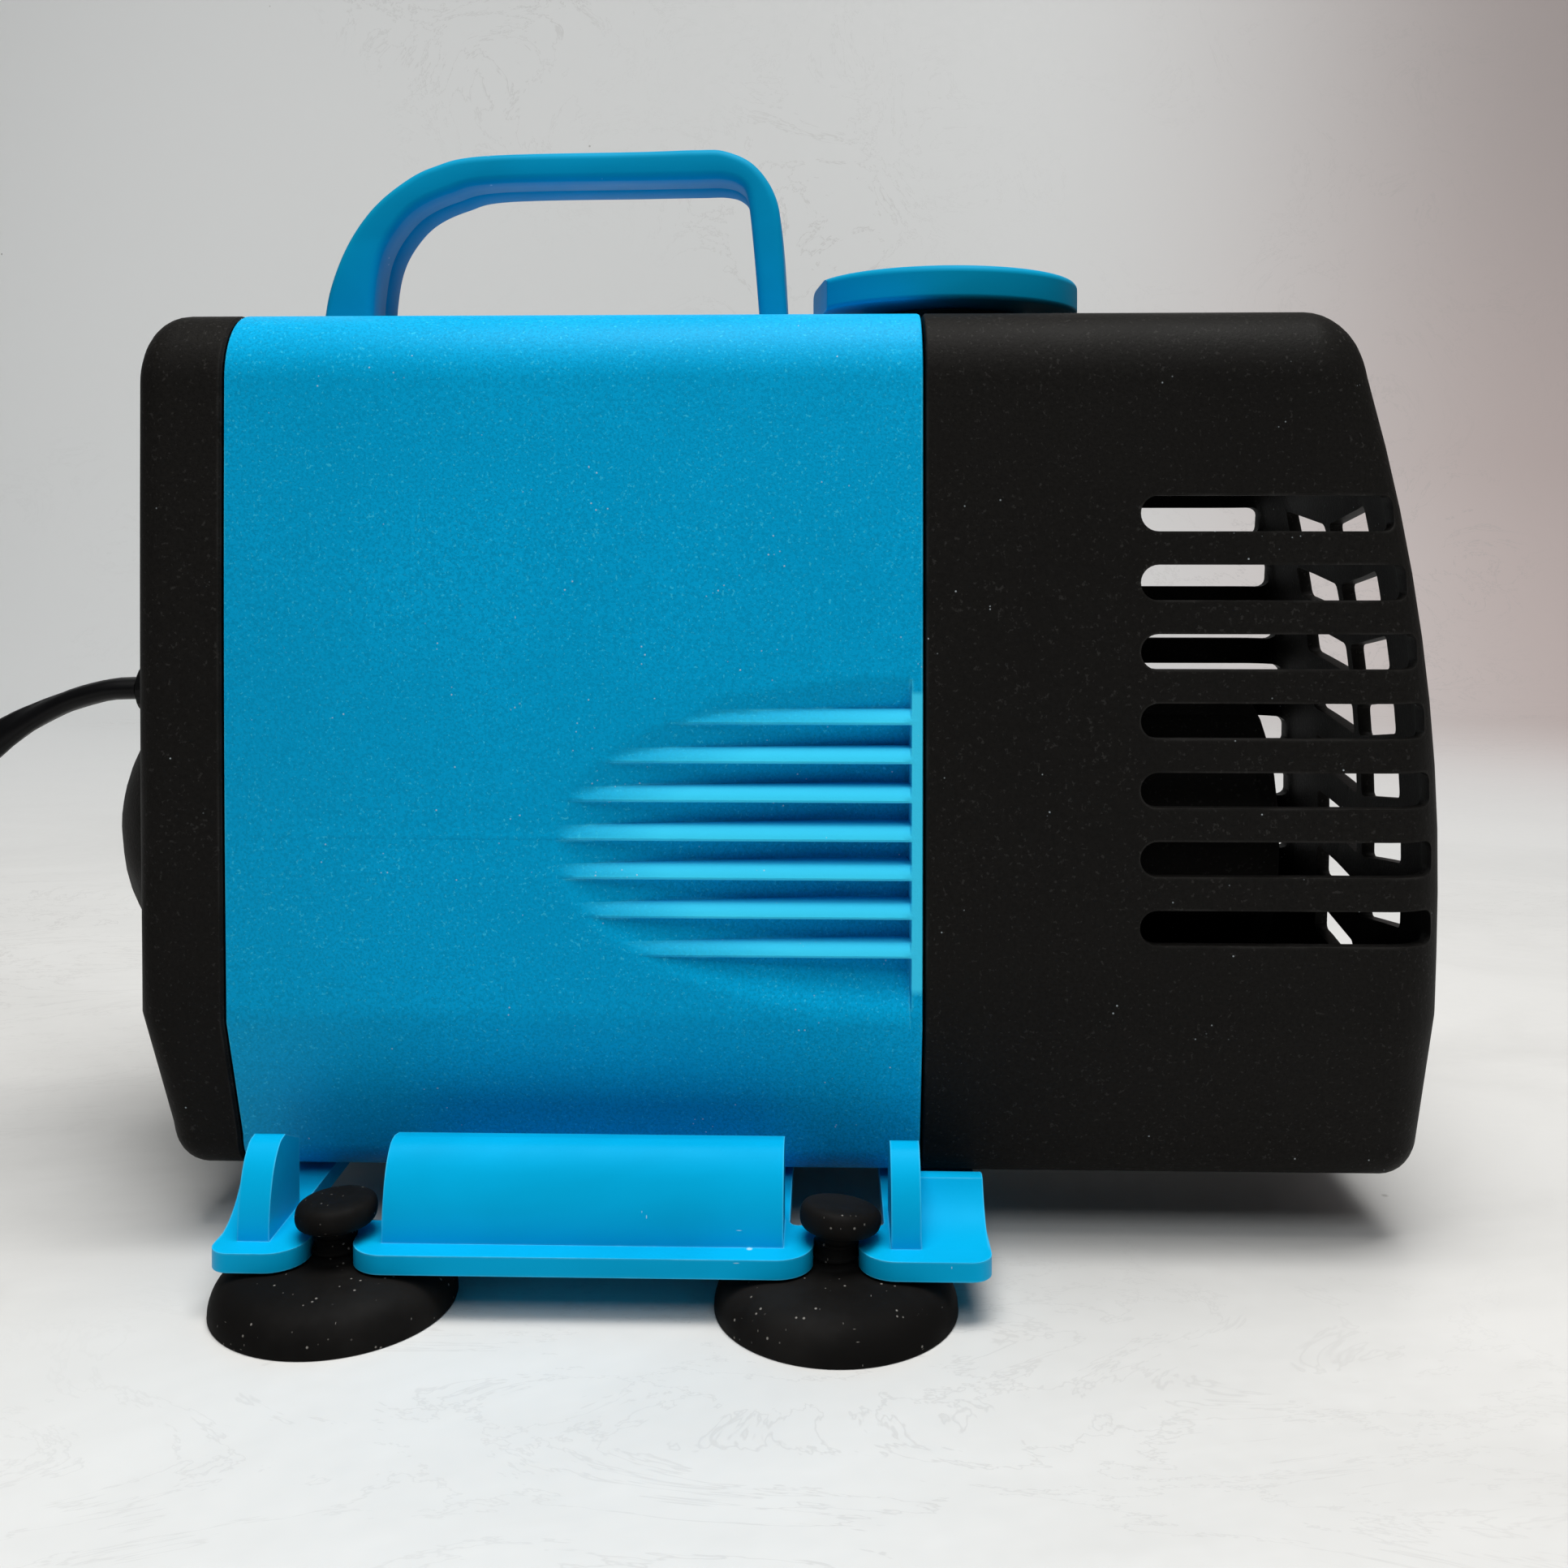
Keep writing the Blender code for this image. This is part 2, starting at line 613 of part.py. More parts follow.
def cup_slot(x, side):
    """A slot for a cup's neck, with a flared mouth at the flange's edge."""
    mouth = 4.2 * MM
    y0 = FLANGE_HALF_Y - mouth
    right = arc((CUP_SLOT_R + mouth, y0), mouth, 180, 90, 4) + [(CUP_SLOT_R + mouth, 52 * MM)]
    left = [(-u, v) for u, v in reversed(right)]
    back = arc((0.0, CUP_Y), CUP_SLOT_R, 180, 360, 8)
    return [(x + u, side * v) for u, v in left + back + right]


def base_plate():
    outline = rounded_rectangle((FLANGE_X[0], -FLANGE_HALF_Y), (FLANGE_X[1], FLANGE_HALF_Y), 2.5 * MM)
    base = lofts("base_plate", [along_z(outline, *FLANGE_Z)], BRIGHT_BLUE)
    uprights, coves, slots = [], [], []
    for side in (-1, 1):
        uprights.append(along_x(upright_outline(side, 36.6 * MM, 17.4 * MM), *RISER_X))
        for start, end in END_RIBS_X:
            uprights.append(along_x(upright_outline(side, 33.8 * MM, 15.6 * MM), start, end))
        coves.append(along_x(cove_outline(side), FLANGE_X[0] + 0.2 * MM, END_RIBS_X[0][1] - 1 * MM))
        coves.append(along_x(cove_outline(side), END_RIBS_X[1][0] + 1 * MM, FLANGE_X[1] - 0.2 * MM))
        for x in CUP_X:
            slots.append(along_z(cup_slot(x, side), 2 * MM, 10 * MM))
    join(base, lofts("base_uprights", uprights, None, CUTTERS), lofts("base_coves", coves, None, CUTTERS))
    cut(base, lofts("cup_slots", slots, None, CUTTERS))


def suction_cups():
    profile = [(r * MM, z * MM) for r, z in CUP_PROFILE]
    for x, end in zip(CUP_X, ("rear", "front")):
        for side, name in ((-1, "near"), (1, "far")):
            turned(f"suction_cup_{end}_{name}", profile, upright(x, side * CUP_Y), RUBBER, 24)


# ---------------------------------------------------------------- motor


def rotor_can():
    rear = -46.0 * MM
    profile = [
        (0.0, rear + 1.6 * MM), (4.8 * MM, rear + 1.6 * MM), (4.8 * MM, rear + 5.5 * MM),
        (6.0 * MM, rear + 5.5 * MM), (6.0 * MM, rear + 1.6 * MM), (CAN_INNER_R, rear + 1.6 * MM),
        (CAN_INNER_R, 15.3 * MM), (19.0 * MM, 15.3 * MM), (19.0 * MM, 13.3 * MM), (CAN_OUTER_R, 13.3 * MM),
        (CAN_OUTER_R, rear), (0.0, rear)]
    turned("rotor_can", profile, x_axis(), BLACK, 24)


def shaft_and_bushes():
    turned("shaft", rod(SHAFT_R, -43.8 * MM, 46.0 * MM), x_axis(), CERAMIC, 16)
    turned("shaft_bush_rear", washer(BUSH_BORE_R, 4.5 * MM, -44.1 * MM, -40.2 * MM), x_axis(), SEAL, 16)
    turned("shaft_bush_front", washer(BUSH_BORE_R, 3.0 * MM, 41.3 * MM, 46.7 * MM), x_axis(), SEAL, 16)


def rotor():
    turned("rotor_magnet", washer(ROTOR_BORE_R, 12.4 * MM, -39.5 * MM, 9.0 * MM), x_axis(), MAGNET, 24)
    hub = [(ROTOR_BORE_R, 37.0 * MM), (4.0 * MM, 37.0 * MM), (4.0 * MM, 20.3 * MM), (19.5 * MM, 20.3 * MM),
           (19.5 * MM, 18.3 * MM), (8.0 * MM, 18.3 * MM), (8.0 * MM, 9.3 * MM), (ROTOR_BORE_R, 9.3 * MM)]
    impeller = turned("impeller", hub, x_axis(), IMPELLER, 24)
    shape = bmesh.new()
    for i in range(6):
        turn = Matrix.Rotation(math.radians(60 * i), 4, "X")
        size = Matrix.Diagonal((15.5 * MM, 1.6 * MM, 15.6 * MM, 1.0))
        blade = Matrix.Translation((27.2 * MM, 0.0, 10.9 * MM)) @ size
        bmesh.ops.create_cube(shape, size=1.0, matrix=Matrix.Translation((0, 0, AXIS_Z)) @ turn @ blade)
    join(impeller, from_bmesh("blades", shape, None, CUTTERS))


def stator():
    outer = [(-STATOR_HALF_Y, STATOR_Z[0]), (STATOR_HALF_Y, STATOR_Z[0]),
             (STATOR_HALF_Y, STATOR_Z[1]), (-STATOR_HALF_Y, STATOR_Z[1])]
    window = [(-WINDOW_HALF_Y, WINDOW_Z[0]), (WINDOW_HALF_Y, WINDOW_Z[0]),
              (WINDOW_HALF_Y, WINDOW_Z[1]), (-WINDOW_HALF_Y, WINDOW_Z[1])]
    bore = arc((0.0, AXIS_Z), CAN_OUTER_R + 0.5 * MM, 0, 345, 23)
    stand = Matrix.Translation((sum(STATOR_X) / 2, 0, 0)) @ Matrix(
        ((0, 0, 1, 0), (1, 0, 0, 0), (0, 1, 0, 0), (0, 0, 0, 1)))
    plate("stator_core", [outer, window, bore], STATOR_X[1] - STATOR_X[0], stand, LAMINATION)


def coil(name, side):
    """One bobbin round a leg of the core, and its winding."""
    middle = ((STATOR_X[0] + STATOR_X[1]) / 2, side * (STATOR_HALF_Y + WINDOW_HALF_Y) / 2)
    leg = ((STATOR_X[1] - STATOR_X[0]) / 2 + GAP, (STATOR_HALF_Y - WINDOW_HALF_Y) / 2 + GAP)

    def frame(out, radius):
        low = (middle[0] - leg[0] - out, middle[1] - leg[1] - out)
        high = (middle[0] + leg[0] + out, middle[1] + leg[1] + out)
        return rounded_rectangle(low, high, radius, 3)

    low, high = COIL_Z
    levels = ((low, 4.6), (low + 1.2 * MM, 4.6), (low + 1.2 * MM, 1.0), (high - 1.2 * MM, 1.0),
              (high - 1.2 * MM, 4.6), (high, 4.6))
    rings = [[(x, y, z) for x, y in frame(out * MM, 2 * MM)] for z, out in levels]
    bobbin = lofts(f"coil_bobbin_{name}", [rings], BOBBIN)
    hole = lofts(f"bobbin_hole_{name}", [along_z(frame(0.0, 0.4 * MM), low - 2 * MM, high + 2 * MM)],
                 None, CUTTERS)
    cut(bobbin, hole)
    up = Matrix.Translation((0, 0, (low + high) / 2))
    plate(f"coil_winding_{name}", [frame(4.2 * MM, 4 * MM), frame(1.3 * MM, 2 * MM)],
          high - low - 3.0 * MM, up, COPPER)


# ---------------------------------------------------------------- pump chamber and outlet


def pump_chamber():
    chamber = turned("pump_chamber", rod(CHAMBER_R, *CHAMBER_X), x_axis(), BLACK, 32)
    pipe_rod = rod(PIPE_R, AXIS_Z + 6 * MM, PIPE_TOP)
    pipe = turned("pipe_skin", pipe_rod, upright(OUTLET_X, 0), None, 24, CUTTERS)
    room = turned("chamber_room", rod(CHAMBER_R - CHAMBER_WALL, CHAMBER_X[0] + 2 * MM, 45 * MM), x_axis(),
                  None, 32, CUTTERS)
    bore = turned("pipe_bore", rod(PIPE_BORE_R, AXIS_Z + 8 * MM, 130 * MM), upright(OUTLET_X, 0), None, 24,
                  CUTTERS)
    neck_hole = turned("neck_hole", rod(9.0 * MM, 10 * MM, 20 * MM), x_axis(), None, 24, CUTTERS)
    join(chamber, pipe)
    cut(chamber, room, bore, neck_hole)


def chamber_cover():
    flange_end, flange_start = COVER_FLANGE_X
    mouth_r = NOSE_R - 2.4 * MM
    nose = [(mouth_r, NOSE_END_X), (NOSE_R - 0.8 * MM, NOSE_END_X - 0.4 * MM), (NOSE_R, NOSE_END_X - 3 * MM)]
    flange = [(NOSE_R, flange_end), (CHAMBER_R, flange_end), (CHAMBER_R, flange_start)]
    funnel = [(INLET_R, flange_start), (INLET_R, 48.0 * MM), (mouth_r, 56.0 * MM)]
    profile = nose + flange + funnel
    cover = turned("chamber_cover", profile, x_axis(), BLACK, 24)
    hub = turned("spider_hub", washer(3.3 * MM, 4.9 * MM, 41.2 * MM, 47.0 * MM), x_axis(), None, 16, CUTTERS)
    shape = bmesh.new()
    for i in range(3):
        turn = Matrix.Rotation(math.radians(120 * i), 4, "X")
        size = Matrix.Diagonal((4.0 * MM, 2.0 * MM, 5.0 * MM, 1.0))
        arm = Matrix.Translation((44.0 * MM, 0.0, 6.6 * MM)) @ size
        bmesh.ops.create_cube(shape, size=1.0, matrix=Matrix.Translation((0, 0, AXIS_Z)) @ turn @ arm)
    join(cover, hub, from_bmesh("spider_arms", shape, None, CUTTERS))


def seal_ring(name, ring_r, thick_r, matrix):
    section = arc((ring_r, 0.0), thick_r, 90, -225, 7)
    turned(name, section, matrix, SEAL, 24)


def outlet_cap():
    spigot_r = PIPE_BORE_R - 0.4 * MM
    low, high = CAP_Z
    bottom = SPIGOT_END_Z
    inner_r = spigot_r - SPIGOT_WALL
    profile = [(0.0, high), (CAP_R - 1.6 * MM, high), (CAP_R - 0.5 * MM, high - 0.4 * MM),
               (CAP_R, high - 1.3 * MM), (CAP_R, low + 0.6 * MM), (CAP_R - 0.6 * MM, low),
               (spigot_r, low), (spigot_r, bottom), (inner_r, bottom), (inner_r, low), (0.0, low)]
    cap = turned("outlet_cap", profile, upright(OUTLET_X, 0), BRIGHT_BLUE, 40)
    flat = boxes("cap_flat", [((-10 * MM, -12 * MM, 100 * MM), (OUTLET_X - CAP_FLAT, 12 * MM, 130 * MM))],
                 None, CUTTERS)
    cut(cap, flat)
    turned("outlet_cap_seal", washer(PIPE_BORE_R + 0.3 * MM, PIPE_R - 0.3 * MM, PIPE_TOP + GAP, low - GAP),
           upright(OUTLET_X, 0), SEAL, 24)


# ---------------------------------------------------------------- cord


def cable_gland():
    profile = [(0.0, GLAND_START_X), (GLAND_R, GLAND_START_X), (GLAND_R, -83.2 * MM), (3.8 * MM, -84.6 * MM),
               (3.3 * MM, GLAND_END_X), (0.0, GLAND_END_X)]
    turned("cable_gland", profile, x_axis(CORD_Z), CORD, 20)


def cord_and_coil():
    tube("power_cord", [Vector(point) * MM for point in CORD_ROUTE], CORD_R, CORD)
    tube("cord_tail", [Vector(point) * MM for point in TAIL_ROUTE], CORD_R, CORD)
    section = rounded_rectangle((COIL_INNER_R, COIL_LOW), (COIL_OUTER_R, COIL_HIGH), 5.0 * MM, 2)
    turned("cord_coil", list(reversed(section)), upright(*COIL_CENTRE), CORD, 32)


def cord_tie():
    low = (COIL_INNER_R - GAP - TIE_THICK, 0.0)
    high = (COIL_OUTER_R + GAP + TIE_THICK, COIL_HIGH + GAP + TIE_THICK)
    outer = rounded_rectangle(low, high, 3 * MM, 3)
    inner = rounded_rectangle((low[0] + TIE_THICK, low[1] + TIE_THICK),
                              (high[0] - TIE_THICK, high[1] - TIE_THICK), 2.4 * MM, 3)
    swing = Matrix.Rotation(math.radians(180), 4, "Z") @ Matrix.Rotation(math.radians(90), 4, "X")
    matrix = Matrix.Translation((*COIL_CENTRE, 0.0)) @ swing
    plate("cord_tie", [outer, inner], 4 * MM, matrix, CORD)


def power_plug():
    """A flat two-pin plug lying on the surface, with its pins towards +X."""
    rings = []
    for along, half_y, half_z in PLUG_SECTIONS:
        corner = min(half_y, half_z) * 0.6 * MM
        outline = rounded_rectangle((PLUG_Y - half_y * MM, PLUG_Z - half_z * MM),
                                    (PLUG_Y + half_y * MM, PLUG_Z + half_z * MM), corner, 3)
        rings.append([(PLUG_START_X + along * MM, y, z) for y, z in outline])
    lofts("plug_body", [rings], CORD)
    face = PLUG_START_X + PLUG_LENGTH + GAP
    tip = face + PIN_LENGTH
    pin = [(0.0, tip), (PIN_TIP_R, tip), (PIN_R, tip - 1.5 * MM), (PIN_R, face), (0.0, face)]
    for name, side in (("near", -1), ("far", 1)):
        turned(f"plug_pin_{name}", pin, x_axis(PLUG_Z, PLUG_Y + side * PIN_SIDE), BRASS, 12)


motor_housing()
rear_cover()
strainer_cover()
carry_handle()
base_plate()
suction_cups()
rotor_can()
shaft_and_bushes()
rotor()
stator()
coil("near", -1)
coil("far", 1)
pump_chamber()
chamber_cover()
seal_ring("chamber_seal", 22.75 * MM, 0.6 * MM, x_axis() @ Matrix.Translation((0, 0, 39.9 * MM)))
outlet_cap()
cable_gland()
cord_and_coil()
cord_tie()
power_plug()
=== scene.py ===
"""The looks of a submersible pump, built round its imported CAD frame.

Units are metres. X runs along the motor's axis, with the strainer at +X and the cord at -X. The pump's origin
is on the floor, under its base.
"""

import math

import bmesh
import bpy
from mathutils import Matrix, Vector


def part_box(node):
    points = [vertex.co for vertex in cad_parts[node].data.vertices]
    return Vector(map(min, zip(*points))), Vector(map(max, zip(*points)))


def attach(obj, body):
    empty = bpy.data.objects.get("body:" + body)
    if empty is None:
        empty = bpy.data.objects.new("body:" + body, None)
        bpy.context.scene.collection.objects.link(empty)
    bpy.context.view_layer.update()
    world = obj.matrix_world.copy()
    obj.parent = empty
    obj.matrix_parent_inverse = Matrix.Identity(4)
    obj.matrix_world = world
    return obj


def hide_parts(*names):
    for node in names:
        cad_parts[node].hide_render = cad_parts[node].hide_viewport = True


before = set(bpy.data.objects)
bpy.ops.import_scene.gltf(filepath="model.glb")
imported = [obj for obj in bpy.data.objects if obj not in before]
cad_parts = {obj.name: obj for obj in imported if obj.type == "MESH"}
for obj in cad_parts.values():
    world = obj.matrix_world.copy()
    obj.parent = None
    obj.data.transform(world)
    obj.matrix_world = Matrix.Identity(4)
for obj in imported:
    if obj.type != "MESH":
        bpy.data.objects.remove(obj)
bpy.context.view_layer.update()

MM = 0.001

# ---------------------------------------------------------------- measures taken from the frame

rear_low, rear_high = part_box("rear_cover")
house_low, house_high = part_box("motor_housing")
front_low, front_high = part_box("strainer_cover")
handle_low, handle_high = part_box("carry_handle")
base_low, base_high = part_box("base_plate")
cap_low, cap_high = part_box("outlet_cap")
pipe_low, pipe_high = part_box("outlet_cap_seal")
coil_low, coil_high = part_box("cord_coil")
tie_low, tie_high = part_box("cord_tie")
plug_low, plug_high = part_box("plug_body")
shaft_low, shaft_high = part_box("shaft")

AXIS_Z = (shaft_low.z + shaft_high.z) / 2
BODY_BOTTOM = house_low.z
BODY_TOP = house_high.z
OUTLET_X = (pipe_low.x + pipe_high.x) / 2

# ---------------------------------------------------------------- sizes the CAD has, and finer ones

# The body's section and its ends
REAR_FACE_X = -74.7 * MM
SIDE_BULGE = 0.4 * MM
HALF_WIDTH = house_high.y - SIDE_BULGE
TAPER_TOP = 29.0 * MM
TAPER_IN = 5.3 * MM
TOP_RADIUS = 9.0 * MM
BOTTOM_RADIUS = 5.0 * MM
END_TOP_RADIUS = 5.0 * MM
END_BOTTOM_RADIUS = 4.0 * MM
FRONT_CORNER_RADIUS = 7.0 * MM
REAR_CORNER_RADIUS = 4.5 * MM
FRONT_BULGE = 2.0 * MM
REAR_BULGE = 0.4 * MM
FRONT_FULLEST_Z = 46.0 * MM
# How fast the front face falls back above and below its fullest height, in mm for a mm squared
FRONT_LEAN_UP = 0.00227
FRONT_LEAN_DOWN = 0.0012
REAR_LEAN = 2.5 * MM
BOSS_BALL_R = 25.0 * MM
WALL = 2.4 * MM
COVER_WALL = 1.8 * MM
SEAM_LIP = 0.35 * MM
CUTTER_LIP = 0.0001 * MM
TOP_ARC_STEPS = 12
BULKHEAD_X = (10.0 * MM, 13.0 * MM)
CAN_HOLE_R = 14.7 * MM
GLAND_HOLE_R = 4.4 * MM
PIPE_NOTCH_R = 13.0 * MM

# Strainer slots and housing louvres
SLOTS = 7
SLOT_PITCH = 8.32 * MM
SLOT_HEIGHT = 4.3 * MM
SLOT_LOWEST_Z = 41.4 * MM
SLOT_START_X = 48.7 * MM
SLOT_TO_FRONT = 3.6 * MM
FRONT_ROWS = 8
FRONT_ROW_PITCH = 8.42 * MM
FRONT_ROW_LOWEST_Z = 29.3 * MM
FRONT_ROW_HEIGHT = 4.3 * MM
FRONT_ROW_Y = (1.0 * MM, 17.0 * MM)
FRONT_ROW_RISE = 0.14
FINS = 7
FIN_PITCH = 4.72 * MM
FIN_THICK = 1.95 * MM
FIN_LOWEST_Z = 38.4 * MM
SCOOP_END_X = 21.2 * MM
SCOOP_START_X = -22.0 * MM
SCOOP_Z = (31.2 * MM, 72.0 * MM)
SCOOP_MIDDLE_Z = 51.0 * MM
SCOOP_DEPTH = 5.0 * MM

# Cord, with its route given up to the coil and from it
CORD_Z = 67.0 * MM
CORD_WIDTH = 5.2 * MM
CORD_THICK = 3.3 * MM
CORD_ROUTE = (
    (-87.3, 0.0, 67.0), (-92.0, 0.0, 66.7), (-99.0, 0.1, 64.6), (-107.0, 0.4, 60.6),
    (-115.0, 1.0, 54.2), (-122.5, 2.2, 45.4), (-129.0, 4.0, 35.0), (-134.8, 6.2, 24.3),
    (-141.5, 8.8, 14.0), (-150.0, 11.3, 6.8), (-158.0, 13.0, 4.2), (-164.4, 13.7, 3.7))
TAIL_ROUTE = ((-164.3, -54.8, 12.3), (-160.0, -55.9, 9.6), (-155.5, -56.8, 7.6), (-150.8, -57.0, 7.0))
COIL_TURNS = 6.5


# ---------------------------------------------------------------- mesh tools


def from_bmesh(name, shape, angle=35):
    bmesh.ops.recalc_face_normals(shape, faces=shape.faces)
    mesh = bpy.data.meshes.new(name)
    shape.to_mesh(mesh)
    shape.free()
    mesh.shade_smooth()
    mesh.set_sharp_from_angle(angle=math.radians(angle))
    made = bpy.data.objects.new(name, mesh)
    bpy.context.scene.collection.objects.link(made)
    return made


def lofts(name, bodies, angle=35):
    """One object holding a closed skin for each list of rings, whose rings have equal counts of points."""
    shape = bmesh.new()
    for rings in bodies:
        rows = [[shape.verts.new(point) for point in ring] for ring in rings]
        for low, high in zip(rows, rows[1:]):
            for i in range(len(low)):
                j = (i + 1) % len(low)
                shape.faces.new((low[i], low[j], high[j], high[i]))
        shape.faces.new(list(reversed(rows[0])))
        shape.faces.new(rows[-1])
    return from_bmesh(name, shape, angle)


def along_x(outline, start, end):
    return [[(x, y, z) for y, z in outline] for x in (start, end)]


def along_y(outline, start, end):
    return [[(x, y, z) for x, z in outline] for y in (start, end)]


def along_z(outline, start, end):
    return [[(x, y, z) for x, y in outline] for z in (start, end)]


def box_rings(low, high):
    (x0, y0, z0), (x1, y1, z1) = low, high
    return along_z([(x0, y0), (x1, y0), (x1, y1), (x0, y1)], z0, z1)


def turned(name, profile, matrix, steps=96, angle=35):
    """A profile of radius and height turned about Z. Its ends are on the axis, or it closes on itself."""
    shape = bmesh.new()
    rows = []
    for r, h in profile:
        if r == 0.0:
            rows.append([shape.verts.new(matrix @ Vector((0, 0, h)))])
            continue
        turns = [2 * math.pi * i / steps for i in range(steps)]
        rows.append([shape.verts.new(matrix @ Vector((r * math.cos(a), r * math.sin(a), h))) for a in turns])
    pairs = list(zip(rows, rows[1:]))
    if profile[0][0] > 0:
        pairs.append((rows[-1], rows[0]))
    for one, two in pairs:
        for i in range(steps):
            j = (i + 1) % steps
            corners = [one[i % len(one)], one[j % len(one)], two[j % len(two)], two[i % len(two)]]
            shape.faces.new(list(dict.fromkeys(corners)))
    return from_bmesh(name, shape, angle)


def x_axis(height=AXIS_Z):
    return Matrix.Translation((0.0, 0.0, height)) @ Matrix.Rotation(math.radians(90), 4, "Y")


def upright(x, y):
    return Matrix.Translation((x, y, 0.0))


def rod(radius, start, end):
    return [(0.0, end), (radius, end), (radius, start), (0.0, start)]


def apply_modifiers(item):
    """Leaves the piece as the plain mesh that its modifiers make."""
    bpy.context.view_layer.update()
    evaluated = item.evaluated_get(bpy.context.evaluated_depsgraph_get())
    mesh = bpy.data.meshes.new_from_object(evaluated)
    item.modifiers.clear()
    item.data = mesh
    return item


def combine(target, operation, *others):
    for other in others:
        step = target.modifiers.new(operation.lower(), "BOOLEAN")
        step.operation = operation
        step.solver = "EXACT"
        step.object = other
    apply_modifiers(target)
    for other in others:
        bpy.data.objects.remove(other, do_unlink=True)
    return target


def soften(item, width, segments=2, angle=35):
    """Rounds the piece's edges and evens its normals."""
    weld = item.modifiers.new("weld", "WELD")
    weld.merge_threshold = 0.00001
    step = item.modifiers.new("rounding", "BEVEL")
    step.width = width
    step.segments = segments
    step.limit_method = "ANGLE"
    step.angle_limit = math.radians(angle)
    step.harden_normals = False
    even = item.modifiers.new("even", "WEIGHTED_NORMAL")
    even.keep_sharp = False
    apply_modifiers(item)
    return item


def arc(centre, radius, start, end, count):
    turns = [math.radians(start + (end - start) * i / count) for i in range(count + 1)]
    return [(centre[0] + radius * math.cos(a), centre[1] + radius * math.sin(a)) for a in turns]


def rounded_rectangle(low, high, radius, count=6):
    (x0, y0), (x1, y1) = low, high
    return (
        arc((x1 - radius, y1 - radius), radius, 0, 90, count)
        + arc((x0 + radius, y1 - radius), radius, 90, 180, count)
        + arc((x0 + radius, y0 + radius), radius, 180, 270, count)
        + arc((x1 - radius, y0 + radius), radius, 270, 360, count)
    )


def smooth(points, steps):
    """A smooth curve through the points, read off at steps places between each two."""
    points = [Vector(p) for p in points]
    ends = [2 * points[0] - points[1], *points, 2 * points[-1] - points[-2]]
    line = []
    for a, b, c, d in zip(ends, ends[1:], ends[2:], ends[3:]):
        for i in range(steps):
            t = i / steps
            line.append(
                0.5 * (2 * b + (c - a) * t + (2 * a - 5 * b + 4 * c - d) * t**2
                       + (3 * b - a - 3 * c + d) * t**3)
            )
    return line + [points[-1]]


def evenly(points, spacing):
    """Points about a spacing apart along a line."""
    runs = [0.0]
    for a, b in zip(points, points[1:]):
        runs.append(runs[-1] + (b - a).length)
    count = max(2, round(runs[-1] / spacing))
    line, k = [], 0
    for i in range(count + 1):
        at = runs[-1] * i / count
        while k < len(points) - 2 and runs[k + 1] < at:
            k += 1
        share = (at - runs[k]) / max(runs[k + 1] - runs[k], 1e-9)
        line.append(points[k].lerp(points[k + 1], min(share, 1.0)))
    return line


def mix(a, b, share):
    return a + (b - a) * share


def eased(low, high, value):
    """0 below low, 1 above high and smooth between them."""
    share = min(max((value - low) / (high - low), 0.0), 1.0)
    return share * share * (3 - 2 * share)


# ---------------------------------------------------------------- materials


